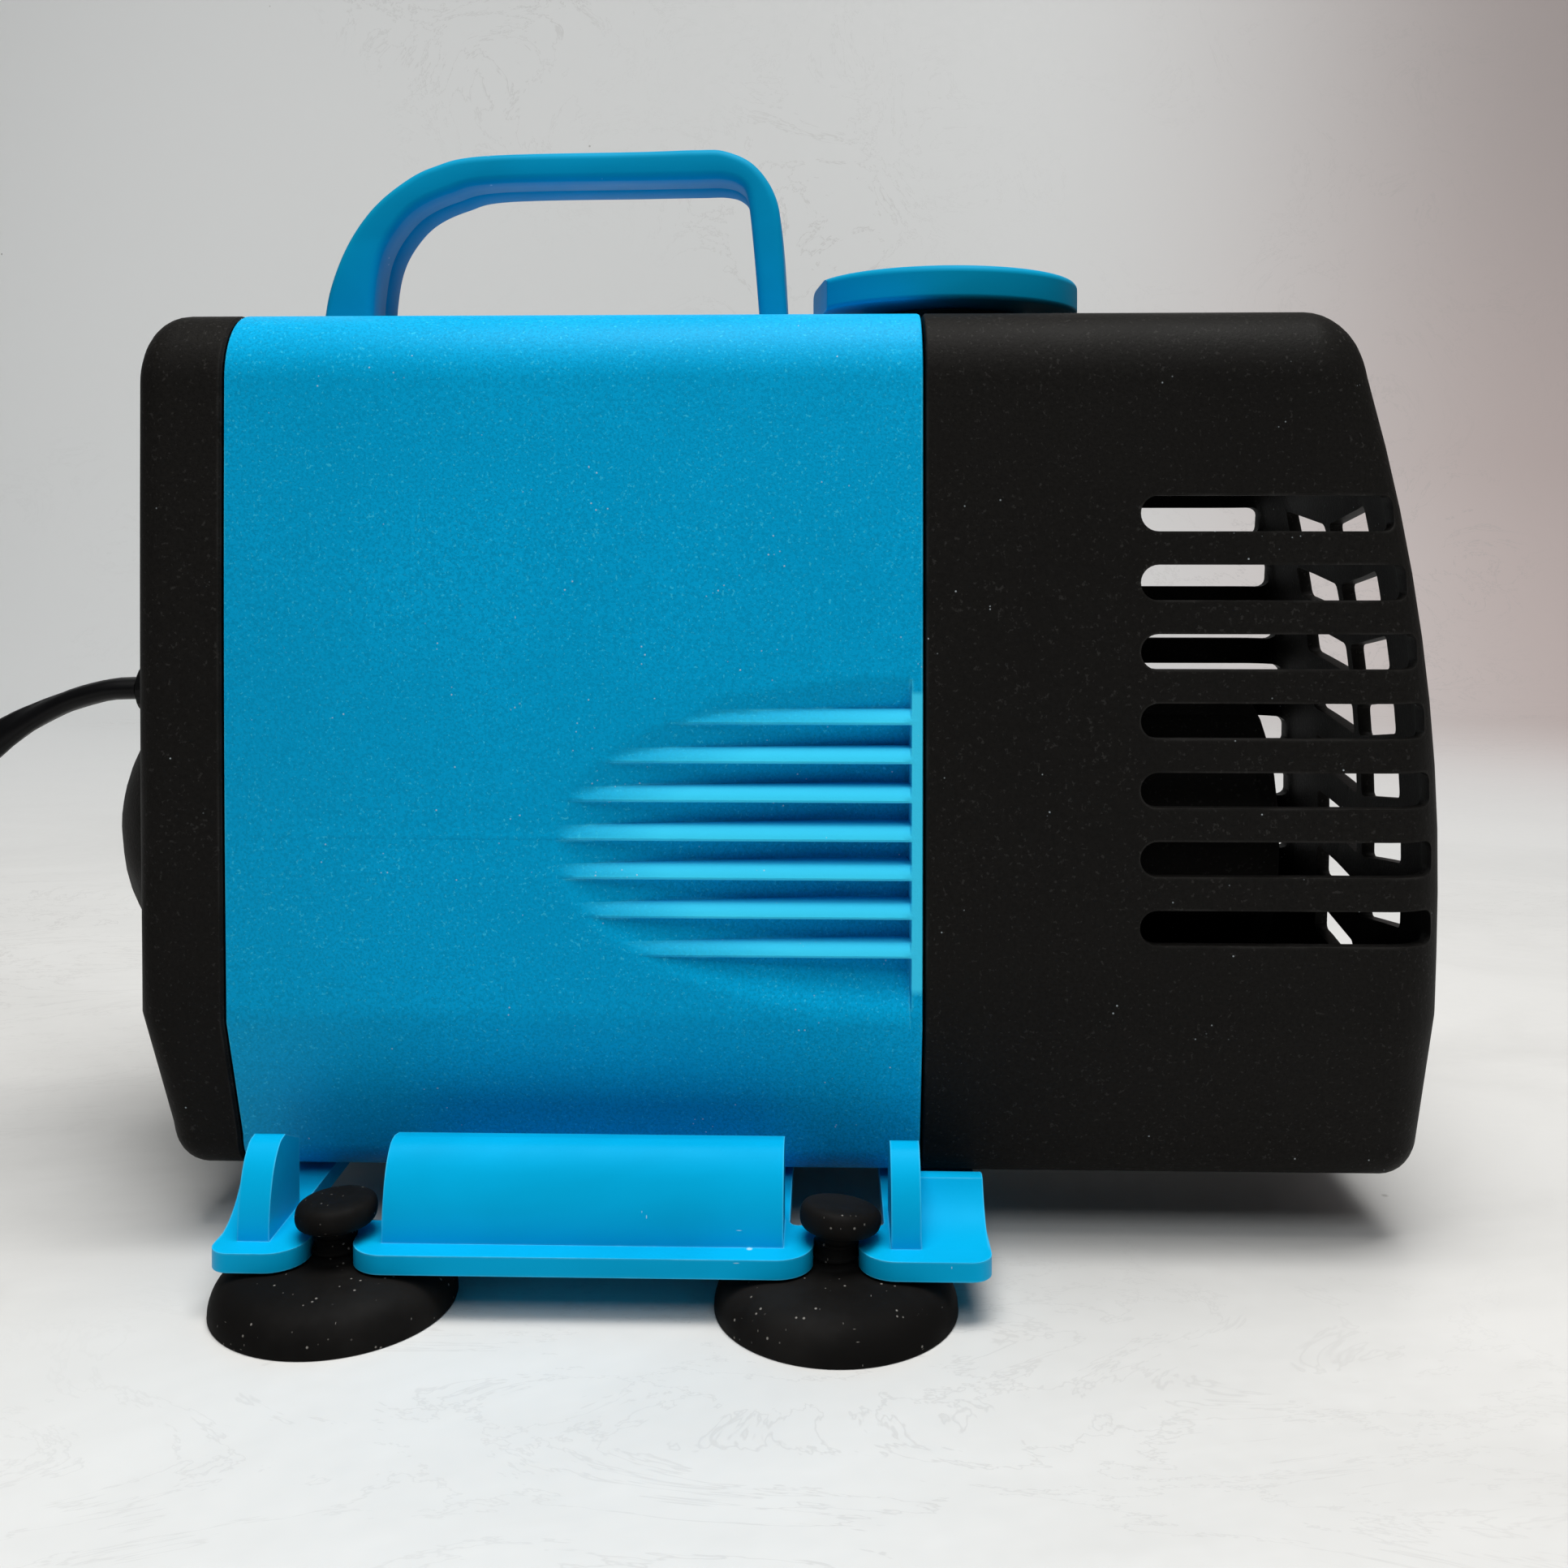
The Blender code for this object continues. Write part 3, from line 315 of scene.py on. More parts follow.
class Nodes:
    """A material's node tree, with short names for what the materials here are made of."""

    def __init__(self, name):
        self.material = bpy.data.materials.new(name)
        self.material.use_nodes = True
        self.tree = self.material.node_tree
        self.shader = self.tree.nodes["Principled BSDF"]
        self.place = self.tree.nodes.new("ShaderNodeTexCoord").outputs["Object"]

    def node(self, kind, **settings):
        made = self.tree.nodes.new(kind)
        for key, value in settings.items():
            setattr(made, key, value)
        return made

    def link(self, source, target):
        self.tree.links.new(source, target)

    def fill(self, socket, value):
        if isinstance(value, (int, float, tuple)):
            socket.default_value = value
        else:
            self.link(value, socket)

    def stretched(self, scale):
        mapping = self.node("ShaderNodeMapping")
        mapping.inputs["Scale"].default_value = scale
        self.link(self.place, mapping.inputs["Vector"])
        return mapping.outputs["Vector"]

    def noise(self, scale, detail=3.0, roughness=0.5, vector=None, distortion=0.0):
        made = self.node("ShaderNodeTexNoise")
        made.inputs["Scale"].default_value = scale
        made.inputs["Detail"].default_value = detail
        made.inputs["Roughness"].default_value = roughness
        made.inputs["Distortion"].default_value = distortion
        self.link(vector or self.place, made.inputs["Vector"])
        return made.outputs["Fac"]

    def cells(self, scale, vector=None):
        made = self.node("ShaderNodeTexVoronoi", feature="F1")
        made.inputs["Scale"].default_value = scale
        self.link(vector or self.place, made.inputs["Vector"])
        return made.outputs["Distance"]

    def ramp(self, value, low, high, start=0.0, end=1.0):
        made = self.node("ShaderNodeMapRange", interpolation_type="SMOOTHSTEP")
        for key, number in (("From Min", low), ("From Max", high), ("To Min", start), ("To Max", end)):
            made.inputs[key].default_value = number
        self.link(value, made.inputs["Value"])
        return made.outputs["Result"]

    def math(self, operation, a, b=0.0):
        made = self.node("ShaderNodeMath", operation=operation)
        self.fill(made.inputs[0], a)
        self.fill(made.inputs[1], b)
        return made.outputs["Value"]

    def blend(self, share, a, b):
        made = self.node("ShaderNodeMix", data_type="RGBA")
        self.fill(made.inputs["Factor"], share)
        self.fill(made.inputs["A"], a)
        self.fill(made.inputs["B"], b)
        return made.outputs["Result"]

    def bump(self, height, strength, distance):
        made = self.node("ShaderNodeBump")
        made.inputs["Strength"].default_value = strength
        made.inputs["Distance"].default_value = distance
        self.link(height, made.inputs["Height"])
        return made.outputs["Normal"]

    def edges(self, radius):
        """1 on the piece's edges and 0 on its faces."""
        bevel = self.node("ShaderNodeBevel", samples=4)
        bevel.inputs["Radius"].default_value = radius
        geometry = self.node("ShaderNodeNewGeometry")
        dot = self.node("ShaderNodeVectorMath", operation="DOT_PRODUCT")
        self.link(bevel.outputs["Normal"], dot.inputs[0])
        self.link(geometry.outputs["Normal"], dot.inputs[1])
        return self.ramp(dot.outputs["Value"], 0.995, 0.9, 0.0, 1.0)

    def specks(self, scale, size, share):
        """Sparse round specks of dust."""
        dots = self.ramp(self.cells(scale), size, size * 0.5, 0.0, 1.0)
        where = self.ramp(self.noise(scale * 0.23, 1.0), 1.0 - share, 1.0 - share + 0.04)
        return self.math("MULTIPLY", dots, where)

    def fibres(self, scale, share):
        """Sparse short hairs and scratches."""
        strands = None
        for stretch in ((1.0, 1.0, 7.0), (6.0, 1.0, 1.6)):
            hairs = self.ramp(self.cells(scale, self.stretched(stretch)), 0.075, 0.03)
            where = self.ramp(self.noise(scale * 0.35, 1.0, vector=self.stretched(stretch[::-1])),
                              1.0 - share, 1.03 - share)
            found = self.math("MULTIPLY", hairs, where)
            strands = self.math("MAXIMUM", strands, found) if strands else found
        return strands

    def finish(self, colour, roughness, normal=None, **sockets):
        self.fill(self.shader.inputs["Base Color"], colour)
        self.fill(self.shader.inputs["Roughness"], roughness)
        if normal:
            self.link(normal, self.shader.inputs["Normal"])
        for key, value in sockets.items():
            self.shader.inputs[key.replace("_", " ")].default_value = value
        return self.material


def shade(colour, factor):
    return tuple(min(c * factor, 1.0) for c in colour[:3]) + (1.0,)


def grained_plastic(name, colour, grain, roughness, dust, pale_wear_and_highlight_colour, depth=0.05 * MM, fleck=0.35,
                    thin=None, **sockets):
    """Moulded plastic with a fine spark-eroded grain, dust specks, and lighter edges that are partly rub wear
    and partly a painted highlight.

    Where the mesh's thin attribute is high, the plastic takes the lighter colour thin, a painted glow that
    stands for light on and through the thin fins and bar.
    """
    n = Nodes(name)
    cloud = n.noise(22.0, 4.0, 0.6)
    fine = n.noise(grain, 2.0, 0.7)
    tone = n.blend(n.ramp(cloud, 0.3, 0.7), shade(colour, 0.93), shade(colour, 1.06))
    tone = n.blend(n.ramp(fine, 0.35, 0.60), shade(colour, 0.80), tone)
    flecks = n.math("MULTIPLY", n.ramp(n.noise(grain * 0.8, 2.0, 0.6), 0.60, 0.72), fleck)
    tone = n.blend(flecks, tone, shade(pale_wear_and_highlight_colour, 1.0))
    # Painted glow: the thin fins and bar take a lighter colour in place of the light on and through them.
    if thin:
        lit = n.node("ShaderNodeAttribute", attribute_name="thin").outputs["Fac"]
        tone = n.blend(lit, tone, shade(thin, 1.0))
    # Lighter edges: partly rub wear, partly a painted highlight on the rounded edges.
    rubbed_and_highlit = n.math("MULTIPLY", n.edges(0.5 * MM), n.ramp(n.noise(160.0, 3.0), 0.4, 0.65, 0.1, 0.6))
    tone = n.blend(rubbed_and_highlit, tone, shade(pale_wear_and_highlight_colour, 1.0))
    marks = n.math("MAXIMUM", n.specks(1000.0, 0.14, dust), n.fibres(190.0, dust * 0.7))
    tone = n.blend(n.math("MULTIPLY", marks, 0.5), tone, (0.72, 0.80, 0.84, 1.0))
    gloss = n.ramp(n.noise(45.0, 3.0), 0.25, 0.75, roughness - 0.05, roughness + 0.07)
    height = n.math("ADD", fine, n.math("MULTIPLY", marks, 0.6))
    return n.finish(tone, gloss, n.bump(height, 0.55, depth), **sockets)


def satin_plastic(name, colour, roughness, pale_wear_and_highlight_colour, rub_and_highlight, **sockets):
    """Smooth moulded plastic with faint flow lines, lighter edges that are partly rub wear and partly a
    painted highlight, nicks and stray fibres.
    """
    n = Nodes(name)
    flow = n.noise(30.0, 3.0, 0.55, n.stretched((1.0, 1.0, 2.5)), 0.6)
    fine = n.noise(2600.0, 2.0, 0.6)
    tone = n.blend(n.ramp(flow, 0.3, 0.7), shade(colour, 0.92), shade(colour, 1.07))
    # Lighter edges: partly rub wear, partly a painted highlight on the rounded edges.
    worn_and_highlit = n.math("MULTIPLY", n.edges(0.3 * MM), n.ramp(n.noise(210.0, 4.0, 0.7), 0.42, 0.7, 0.2, rub_and_highlight))
    tone = n.blend(worn_and_highlit, tone, shade(pale_wear_and_highlight_colour, 1.0))
    marks = n.math("MAXIMUM", n.specks(700.0, 0.12, 0.30), n.fibres(170.0, 0.34))
    tone = n.blend(n.math("MULTIPLY", marks, 0.55), tone, (0.75, 0.85, 0.90, 1.0))
    gloss = n.ramp(n.noise(60.0, 3.0), 0.25, 0.75, roughness - 0.04, roughness + 0.09)
    height = n.math("ADD", n.math("MULTIPLY", fine, 0.5), marks)
    return n.finish(tone, gloss, n.bump(height, 0.25, 0.02 * MM), **sockets)


def rubber(name, colour, roughness, dust):
    n = Nodes(name)
    bloom = n.noise(70.0, 4.0, 0.65)
    fine = n.noise(1900.0, 2.0, 0.6)
    tone = n.blend(n.ramp(bloom, 0.35, 0.75), shade(colour, 0.8), shade(colour, 1.7))
    marks = n.math("MAXIMUM", n.specks(900.0, 0.16, dust), n.fibres(300.0, dust))
    tone = n.blend(n.math("MULTIPLY", marks, 0.45), tone, (0.45, 0.42, 0.38, 1.0))
    gloss = n.ramp(bloom, 0.3, 0.7, roughness + 0.08, roughness - 0.06)
    height = n.math("ADD", n.math("MULTIPLY", fine, 0.5), marks)
    return n.finish(tone, gloss, n.bump(height, 0.4, 0.03 * MM), IOR=1.12)


def metal(name, colour, roughness, lines):
    """Metal with fine lines across X, such as stacked laminations, or none where lines is 0."""
    n = Nodes(name)
    cloud = n.noise(120.0, 4.0, 0.6)
    tone = n.blend(n.ramp(cloud, 0.3, 0.7), shade(colour, 0.8), shade(colour, 1.1))
    gloss = n.ramp(cloud, 0.3, 0.7, roughness - 0.06, roughness + 0.1)
    height = n.noise(900.0, 3.0)
    if lines:
        wave = n.node("ShaderNodeTexWave", wave_type="BANDS", bands_direction="X")
        wave.inputs["Scale"].default_value = lines
        wave.inputs["Distortion"].default_value = 0.4
        n.link(n.place, wave.inputs["Vector"])
        height = wave.outputs["Fac"]
        tone = n.blend(n.ramp(height, 0.0, 0.25), shade(colour, 0.45), tone)
    return n.finish(tone, gloss, n.bump(height, 0.4, 0.05 * MM), Metallic=1.0)


def wound_wire(name, colour):
    """Turns of enamelled wire lying side by side up the bobbin."""
    n = Nodes(name)
    wave = n.node("ShaderNodeTexWave", wave_type="BANDS", bands_direction="Z")
    wave.inputs["Scale"].default_value = 700.0
    wave.inputs["Distortion"].default_value = 0.3
    n.link(n.place, wave.inputs["Vector"])
    turns = wave.outputs["Fac"]
    tone = n.blend(n.ramp(turns, 0.1, 0.6), shade(colour, 0.35), shade(colour, 1.1))
    tone = n.blend(n.ramp(n.noise(200.0, 3.0), 0.4, 0.7), tone, shade(colour, 0.8))
    gloss = n.ramp(n.noise(80.0, 2.0), 0.3, 0.7, 0.22, 0.38)
    return n.finish(tone, gloss, n.bump(turns, 0.8, 0.12 * MM), Metallic=0.9)


def plain_moulding(name, colour, roughness, **sockets):
    n = Nodes(name)
    cloud = n.noise(60.0, 4.0, 0.6)
    fine = n.noise(2200.0, 2.0)
    tone = n.blend(n.ramp(cloud, 0.3, 0.7), shade(colour, 0.88), shade(colour, 1.08))
    gloss = n.ramp(cloud, 0.3, 0.7, roughness - 0.06, roughness + 0.08)
    return n.finish(tone, gloss, n.bump(fine, 0.35, 0.02 * MM), **sockets)


TINT = (0.05, 0.55, 1.0, 1.0)
# The housing's thin colour is a painted glow for its fins and bar.
BLUE = grained_plastic("housing_blue", (0.0011, 0.400, 0.745), grain=3000.0, roughness=0.50, dust=0.36,
                       pale_wear_and_highlight_colour=(0.08, 0.78, 1.0), thin=(0.05, 0.68, 1.0), IOR=1.3, Specular_Tint=TINT)
BRIGHT = satin_plastic("trim_blue", (0.0011, 0.400, 0.720), roughness=0.40, pale_wear_and_highlight_colour=(0.21, 0.78, 1.0),
                       rub_and_highlight=0.45, IOR=1.3, Specular_Tint=TINT)
HANDLE_BLUE = satin_plastic("handle_blue", (0.0008, 0.273, 0.480), roughness=0.52,
                            pale_wear_and_highlight_colour=(0.26, 0.78, 1.0), rub_and_highlight=0.6, IOR=1.22, Specular_Tint=TINT)
BLACK = grained_plastic("cover_black", (0.0108, 0.0101, 0.0092), grain=2300.0, roughness=0.52, dust=0.33,
                        pale_wear_and_highlight_colour=(0.042, 0.040, 0.038), depth=0.09 * MM, fleck=0.5, IOR=1.12)
RUBBER = rubber("cup_rubber", (0.0065, 0.0060, 0.0056), roughness=0.62, dust=0.50)
SEAL = rubber("seal_rubber", (0.03, 0.03, 0.03), roughness=0.6, dust=0.25)
CORD = plain_moulding("cord_pvc", (0.0033, 0.0033, 0.0037), 0.40, IOR=1.25)
CERAMIC = plain_moulding("shaft_ceramic", (0.80, 0.79, 0.75), 0.22)
MAGNET = metal("ferrite", (0.05, 0.05, 0.055), roughness=0.5, lines=0.0)
LAMINATION = metal("lamination_steel", (0.32, 0.32, 0.33), roughness=0.42, lines=620.0)
COPPER = wound_wire("enamelled_copper", (0.52, 0.20, 0.07))
BOBBIN = plain_moulding("bobbin_nylon", (0.70, 0.68, 0.60), 0.48)
IMPELLER = plain_moulding("impeller_plastic", (0.70, 0.70, 0.67), 0.4)
BRASS = metal("plated_pin", (0.70, 0.68, 0.62), roughness=0.25, lines=0.0)


def wear(item, look):
    item.data.materials.clear()
    item.data.materials.append(look)
    return item


def stand_for(item, look, body, slot, *nodes):
    """Finishes a piece: its material, the body it rides on, and the CAD nodes it stands for."""
    wear(item, look)
    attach(item, body)
    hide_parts(*nodes)
    return item


# ---------------------------------------------------------------- pump body


def body_half(z):
    """The body's half width between its lower and upper rounded edges."""
    if z < TAPER_TOP:
        return HALF_WIDTH - TAPER_IN * (TAPER_TOP - z) / (TAPER_TOP - BODY_BOTTOM - BOTTOM_RADIUS)
    up = (z - TAPER_TOP) / (BODY_TOP - TOP_RADIUS - TAPER_TOP)
    return HALF_WIDTH + SIDE_BULGE * math.sin(math.pi * min(up, 1.0))


def side_outline(inset, levels):
    """One side of the body's section, bottom to top, as half widths and heights."""
    half = HALF_WIDTH - TAPER_IN
    low = arc((half - BOTTOM_RADIUS, BODY_BOTTOM + BOTTOM_RADIUS), BOTTOM_RADIUS - inset, -90, 0, 8)
    top = arc((HALF_WIDTH - TOP_RADIUS, BODY_TOP - TOP_RADIUS), TOP_RADIUS - inset, 0, 90,
              TOP_ARC_STEPS)
    middle = [(body_half(z) - inset, z) for z in levels]
    return low + middle + top


def whole_outline(side):
    """Both sides of the body's section."""
    return side + [(-y, z) for y, z in reversed(side)]


def edge_radius(z, side_radius):
    """The rounding between the side and the end face at a height."""
    low, high = BODY_BOTTOM + BOTTOM_RADIUS, BODY_TOP - TOP_RADIUS
    if z < TAPER_TOP:
        return mix(END_BOTTOM_RADIUS, side_radius, eased(low, TAPER_TOP, z))
    return mix(side_radius, END_TOP_RADIUS, eased(high, BODY_TOP, z))


def front_x(z):
    away = (z - FRONT_FULLEST_Z) / MM
    return front_high.x - (FRONT_LEAN_UP if away > 0 else FRONT_LEAN_DOWN) * away**2 * MM


def rear_x(z):
    return REAR_FACE_X + REAR_LEAN * max(0.0, (TAPER_TOP - z) / (TAPER_TOP - BODY_BOTTOM))


def boss_height(y, z):
    """How far the rear cover's round boss stands out of its end face."""
    r = math.hypot(y, z - AXIS_Z)
    flat = BOSS_BALL_R - (REAR_FACE_X - rear_low.x)
    ball = (math.sqrt(BOSS_BALL_R**2 - r**2) if r < BOSS_BALL_R else 0.0) - flat
    soft = 1.2 * MM
    return 0.5 * (ball + math.sqrt(ball**2 + soft**2)) - 0.5 * (math.hypot(flat, soft) - flat)


SIDE_LEVELS = [TAPER_TOP] + [mix(TAPER_TOP, BODY_TOP - TOP_RADIUS, k / 10) for k in range(1, 10)]
FACE_RINGS = 22


def face_half(z):
    """The half width over which an end face bulges."""
    return HALF_WIDTH if z > TAPER_TOP else body_half(z)


def end_surface(y, z, half, end_at, bulge, way, boss):
    x = end_at(z) - way * bulge * (y / half) ** 2
    return x - (boss_height(y, z) if boss else 0.0)


def cover_rings(seam, end_at, inset, corner, bulge, boss=False, lip=SEAM_LIP):
    """A cover's skin as rings: its rim, its sides, its rounded edge, and its end face to the middle."""
    way = 1.0 if end_at(AXIS_Z) > seam else -1.0
    outline = whole_outline(side_outline(inset, SIDE_LEVELS))
    inner = whole_outline(side_outline(inset + lip, SIDE_LEVELS))
    rings = [[(seam, y, z) for y, z in inner], [(seam + way * lip, y, z) for y, z in outline]]
    middle = (BODY_BOTTOM + BODY_TOP) / 2
    rounded = [(y, z, edge_radius(z, corner) - inset) for y, z in outline]
    steps = 8
    for k in range(steps + 1):
        turn = math.radians(90 * k / steps)
        rings.append(edge_ring(rounded, turn, end_at, inset, bulge, way, boss))
    edge = rings[-1]
    for k in range(1, FACE_RINGS):
        share = 1.0 - k / FACE_RINGS
        ring = []
        for x, y, z in edge:
            y, z = y * share, middle + (z - middle) * share
            x = end_surface(y, z, face_half(z), end_at, bulge, way, boss)
            ring.append((x - way * inset, y, z))
        rings.append(ring)
    return rings


def edge_ring(points, turn, end_at, inset, bulge, way, boss):
    """The rounding of a cover's edge at one turn from its side (0) to its face (90 degrees)."""
    ring = []
    count = len(points)
    for i, (y, z, radius) in enumerate(points):
        before, after = points[i - 1], points[(i + 1) % count]
        out = Vector((after[1] - before[1], before[0] - after[0]))
        out = out.normalized() if out.length > 1e-9 else Vector((1.0, 0.0))
        pull = radius * (1.0 - math.cos(turn))
        y2, z2 = y - out.x * pull, z - out.y * pull
        x = end_surface(y2, min(max(z2, BODY_BOTTOM), BODY_TOP), face_half(z), end_at, bulge, way, boss)
        ring.append((x - way * (inset + radius * (1.0 - math.sin(turn))), y2, z2))
    return ring


def scoop_depth(x, z):
    """How deep the louvres' hollow is at a place on the side, before the fins are left standing."""
    up = (z - SCOOP_MIDDLE_Z) / ((SCOOP_Z[1] - SCOOP_Z[0]) / 2)
    if abs(up) >= 1.0 or x <= SCOOP_START_X or x >= SCOOP_END_X:
        return 0.0
    start = mix(SCOOP_START_X, SCOOP_END_X, 1.0 - math.sqrt(1.0 - up**2))
    share = max(0.0, (x - start) / (SCOOP_END_X - SCOOP_START_X))
    across = (1.0 - up**2) ** 0.7
    return SCOOP_DEPTH * min(1.0, 1.25 * share**0.85) * across


def fin_levels():
    """Heights on the side where the louvres need a line, and how deep the face may lie at each."""
    half = FIN_THICK / 2
    # Up a fin: a round nose, a face that leans back, and a round upper corner
    nose = ((-0.97, 0.34), (-0.86, 0.10), (-0.62, 0.0), (-0.25, 0.08), (0.15, 0.24), (0.55, 0.48),
            (0.80, 0.74), (0.93, 1.05))
    levels = []
    deep = [TAPER_TOP]
    for i in range(FINS):
        z = FIN_LOWEST_Z + i * FIN_PITCH
        levels += [(z + up * half, depth * MM) for up, depth in nose]
        deep += [z - half, z + half]
        if i < FINS - 1:
            deep += [z + FIN_PITCH * k / 4 for k in (1.5, 2.0, 2.5)]
    top_fin = FIN_LOWEST_Z + (FINS - 1) * FIN_PITCH
    deep += [mix(SCOOP_Z[0], FIN_LOWEST_Z - FIN_THICK, k / 6) for k in range(6)]
    deep += [mix(top_fin + FIN_THICK, SCOOP_Z[1], k / 5) for k in range(1, 6)]
    deep += [mix(SCOOP_Z[1], BODY_TOP - TOP_RADIUS, k / 5) for k in range(1, 5)]
    return sorted(levels + [(z, SCOOP_DEPTH) for z in deep])


def mark_painted_glow(housing):
    """Marks the fins and the bar at their ends for a painted glow: a lighter colour standing for the light
    that falls on and through the thin moulding.
    """
    mark = housing.data.attributes.new("thin", "FLOAT", "POINT")
    for v, value in zip(housing.data.vertices, mark.data):
        x, y, z = v.co
        place = (z - FIN_LOWEST_Z) / FIN_PITCH
        off_fin = abs(place - round(place)) * FIN_PITCH
        on_face = abs(y) > body_half(z) - 1.3 * MM
        fin = -0.5 < place < FINS - 0.5 and off_fin < 0.495 * FIN_THICK
        bar = x > SCOOP_END_X - 0.01 * MM and SCOOP_Z[0] + 2 * MM < z < SCOOP_Z[1] - 2 * MM
        if on_face and bar:
            value.value = 1.0
        elif on_face and fin:
            value.value = min(1.0, scoop_depth(x, z) / (2.2 * MM))


def motor_housing():
    start, end = house_low.x, house_high.x
    stations = [(start, SEAM_LIP), (start + 0.1 * MM, 0.12 * MM), (start + SEAM_LIP, 0.0)]
    count = 46
    stations += [(mix(SCOOP_START_X, SCOOP_END_X - 0.1 * MM, k / count), 0.0) for k in range(count + 1)]
    stations += [(SCOOP_END_X + 0.12 * MM, 0.0), (end - SEAM_LIP, 0.0), (end - 0.1 * MM, 0.12 * MM),
                 (end, SEAM_LIP)]
    levels = fin_levels()
    rings = []
    for x, inset in stations:
        side = side_outline(inset, [z for z, _ in levels])
        first = len(side) - (TOP_ARC_STEPS + 1) - len(levels)
        for k, (z, deepest) in enumerate(levels):
            y, _ = side[first + k]
            side[first + k] = (y - min(deepest, scoop_depth(x, z)), z)
        rings.append([(x, y, z) for y, z in whole_outline(side)])
    housing = lofts("housing_shell", [rings], 30)
    rooms = []
    for x0, x1 in ((start - 2 * MM, BULKHEAD_X[0]), (BULKHEAD_X[1], end + 2 * MM)):
        section = whole_outline(side_outline(WALL, SIDE_LEVELS))
        room = lofts("room", [along_x(section, x0, x1)])
        inner = HALF_WIDTH - SCOOP_DEPTH - 2 * MM
        low, high = SCOOP_Z[0] - 3 * MM, SCOOP_Z[1] + 2.5 * MM
        backs = [box_rings((-23 * MM, side[0], low), (30 * MM, side[1], high))
                 for side in ((-40 * MM, -inner), (inner, 40 * MM))]
        rooms.append(combine(room, "DIFFERENCE", lofts("backing", backs)))
    can_hole = turned("can_hole", rod(CAN_HOLE_R, 0.0, 20 * MM), x_axis())
    notch = turned("notch", rod(PIPE_NOTCH_R, 90 * MM, 130 * MM), upright(OUTLET_X, 0.0))
    combine(housing, "DIFFERENCE", *rooms, can_hole, notch)
    mark_painted_glow(housing)
    stand_for(housing, BLUE, "pump", "housing_blue", "motor_housing")


def rear_cover():
    seam = rear_high.x
    skin = cover_rings(seam, rear_x, 0.0, REAR_CORNER_RADIUS, REAR_BULGE, True)
    inside = cover_rings(seam + 2 * MM, rear_x, COVER_WALL, REAR_CORNER_RADIUS, REAR_BULGE, True, CUTTER_LIP)
    cover = lofts("rear_shell", [skin])
    room = lofts("rear_room", [inside])
    hole = turned("gland_hole", rod(GLAND_HOLE_R, -95 * MM, -68 * MM), x_axis(CORD_Z), 48)
    combine(cover, "DIFFERENCE", room, hole)
    stand_for(cover, BLACK, "pump", "cover_black", "rear_cover")


def side_slots():
    bodies = []
    for i in range(SLOTS):
        z = SLOT_LOWEST_Z + i * SLOT_PITCH
        end = front_x(z) - SLOT_TO_FRONT
        r = SLOT_HEIGHT / 2
        outline = arc((SLOT_START_X + r, z), r, 90, 270, 14)
        outline += arc((end - 1.2 * MM, z - r + 1.2 * MM), 1.2 * MM, -90, 0, 4)
        outline += arc((end - 1.2 * MM, z + r - 1.2 * MM), 1.2 * MM, 0, 90, 4)
        bodies.append(along_y(outline, -40 * MM, 40 * MM))
    return lofts("side_slots", bodies)


def front_slots():
    bodies = []
    for i in range(FRONT_ROWS):
        for side in (-1, 1):
            inner, outer = FRONT_ROW_Y
            low = FRONT_ROW_LOWEST_Z + i * FRONT_ROW_PITCH - FRONT_ROW_HEIGHT / 2
            outline = rounded_rectangle((inner, low), (outer, low + FRONT_ROW_HEIGHT), 0.8 * MM, 3)
            outline = [(side * y, z + FRONT_ROW_RISE * (y - inner)) for y, z in outline]
            bodies.append(along_x(outline, 74 * MM, 95 * MM))
    return lofts("front_slots", bodies)


def strainer_cover():
    seam = front_low.x
    skin = cover_rings(seam, front_x, 0.0, FRONT_CORNER_RADIUS, FRONT_BULGE)
    inside = cover_rings(seam - 2 * MM, front_x, COVER_WALL, FRONT_CORNER_RADIUS, FRONT_BULGE, False,
                         CUTTER_LIP)
    cover = lofts("strainer_shell", [skin])
    room = lofts("strainer_room", [inside])
    notch = arc((OUTLET_X, 0.0), PIPE_NOTCH_R, -90, 90, 24)
    notch += [(10 * MM, PIPE_NOTCH_R), (10 * MM, -PIPE_NOTCH_R)]
    pipe_notch = lofts("strainer_notch", [along_z(notch, 100 * MM, 130 * MM)])
    combine(cover, "DIFFERENCE", room, pipe_notch, side_slots(), front_slots())
    soften(cover, 0.3 * MM, 2, 50)
    stand_for(cover, BLACK, "strainer", "cover_black", "strainer_cover")


# ---------------------------------------------------------------- handle

HANDLE_FOOT_Z = handle_low.z / MM
HANDLE_OUTER = (
    (-59.0, HANDLE_FOOT_Z), (-57.9, 123.0), (-55.6, 128.9), (-52.3, 133.8), (-48.2, 137.4), (-43.5, 139.9),
    (-36.1, 141.4), (-14.6, 141.8), (-7.0, 142.0), (-3.0, 141.8), (1.0, 139.9), (3.9, 135.7), (4.9, 129.9),
    (5.7, HANDLE_FOOT_Z))
HANDLE_INNER = (
    (-51.9, HANDLE_FOOT_Z), (-51.6, 122.4), (-50.7, 127.3), (-48.8, 131.0), (-45.8, 134.1), (-41.2, 136.2),
    (-35.0, 137.5), (-14.6, 137.8), (-7.0, 137.9), (-3.4, 137.9), (-1.1, 137.2), (0.1, 135.3), (0.9, 128.9),
    (1.9, HANDLE_FOOT_Z))


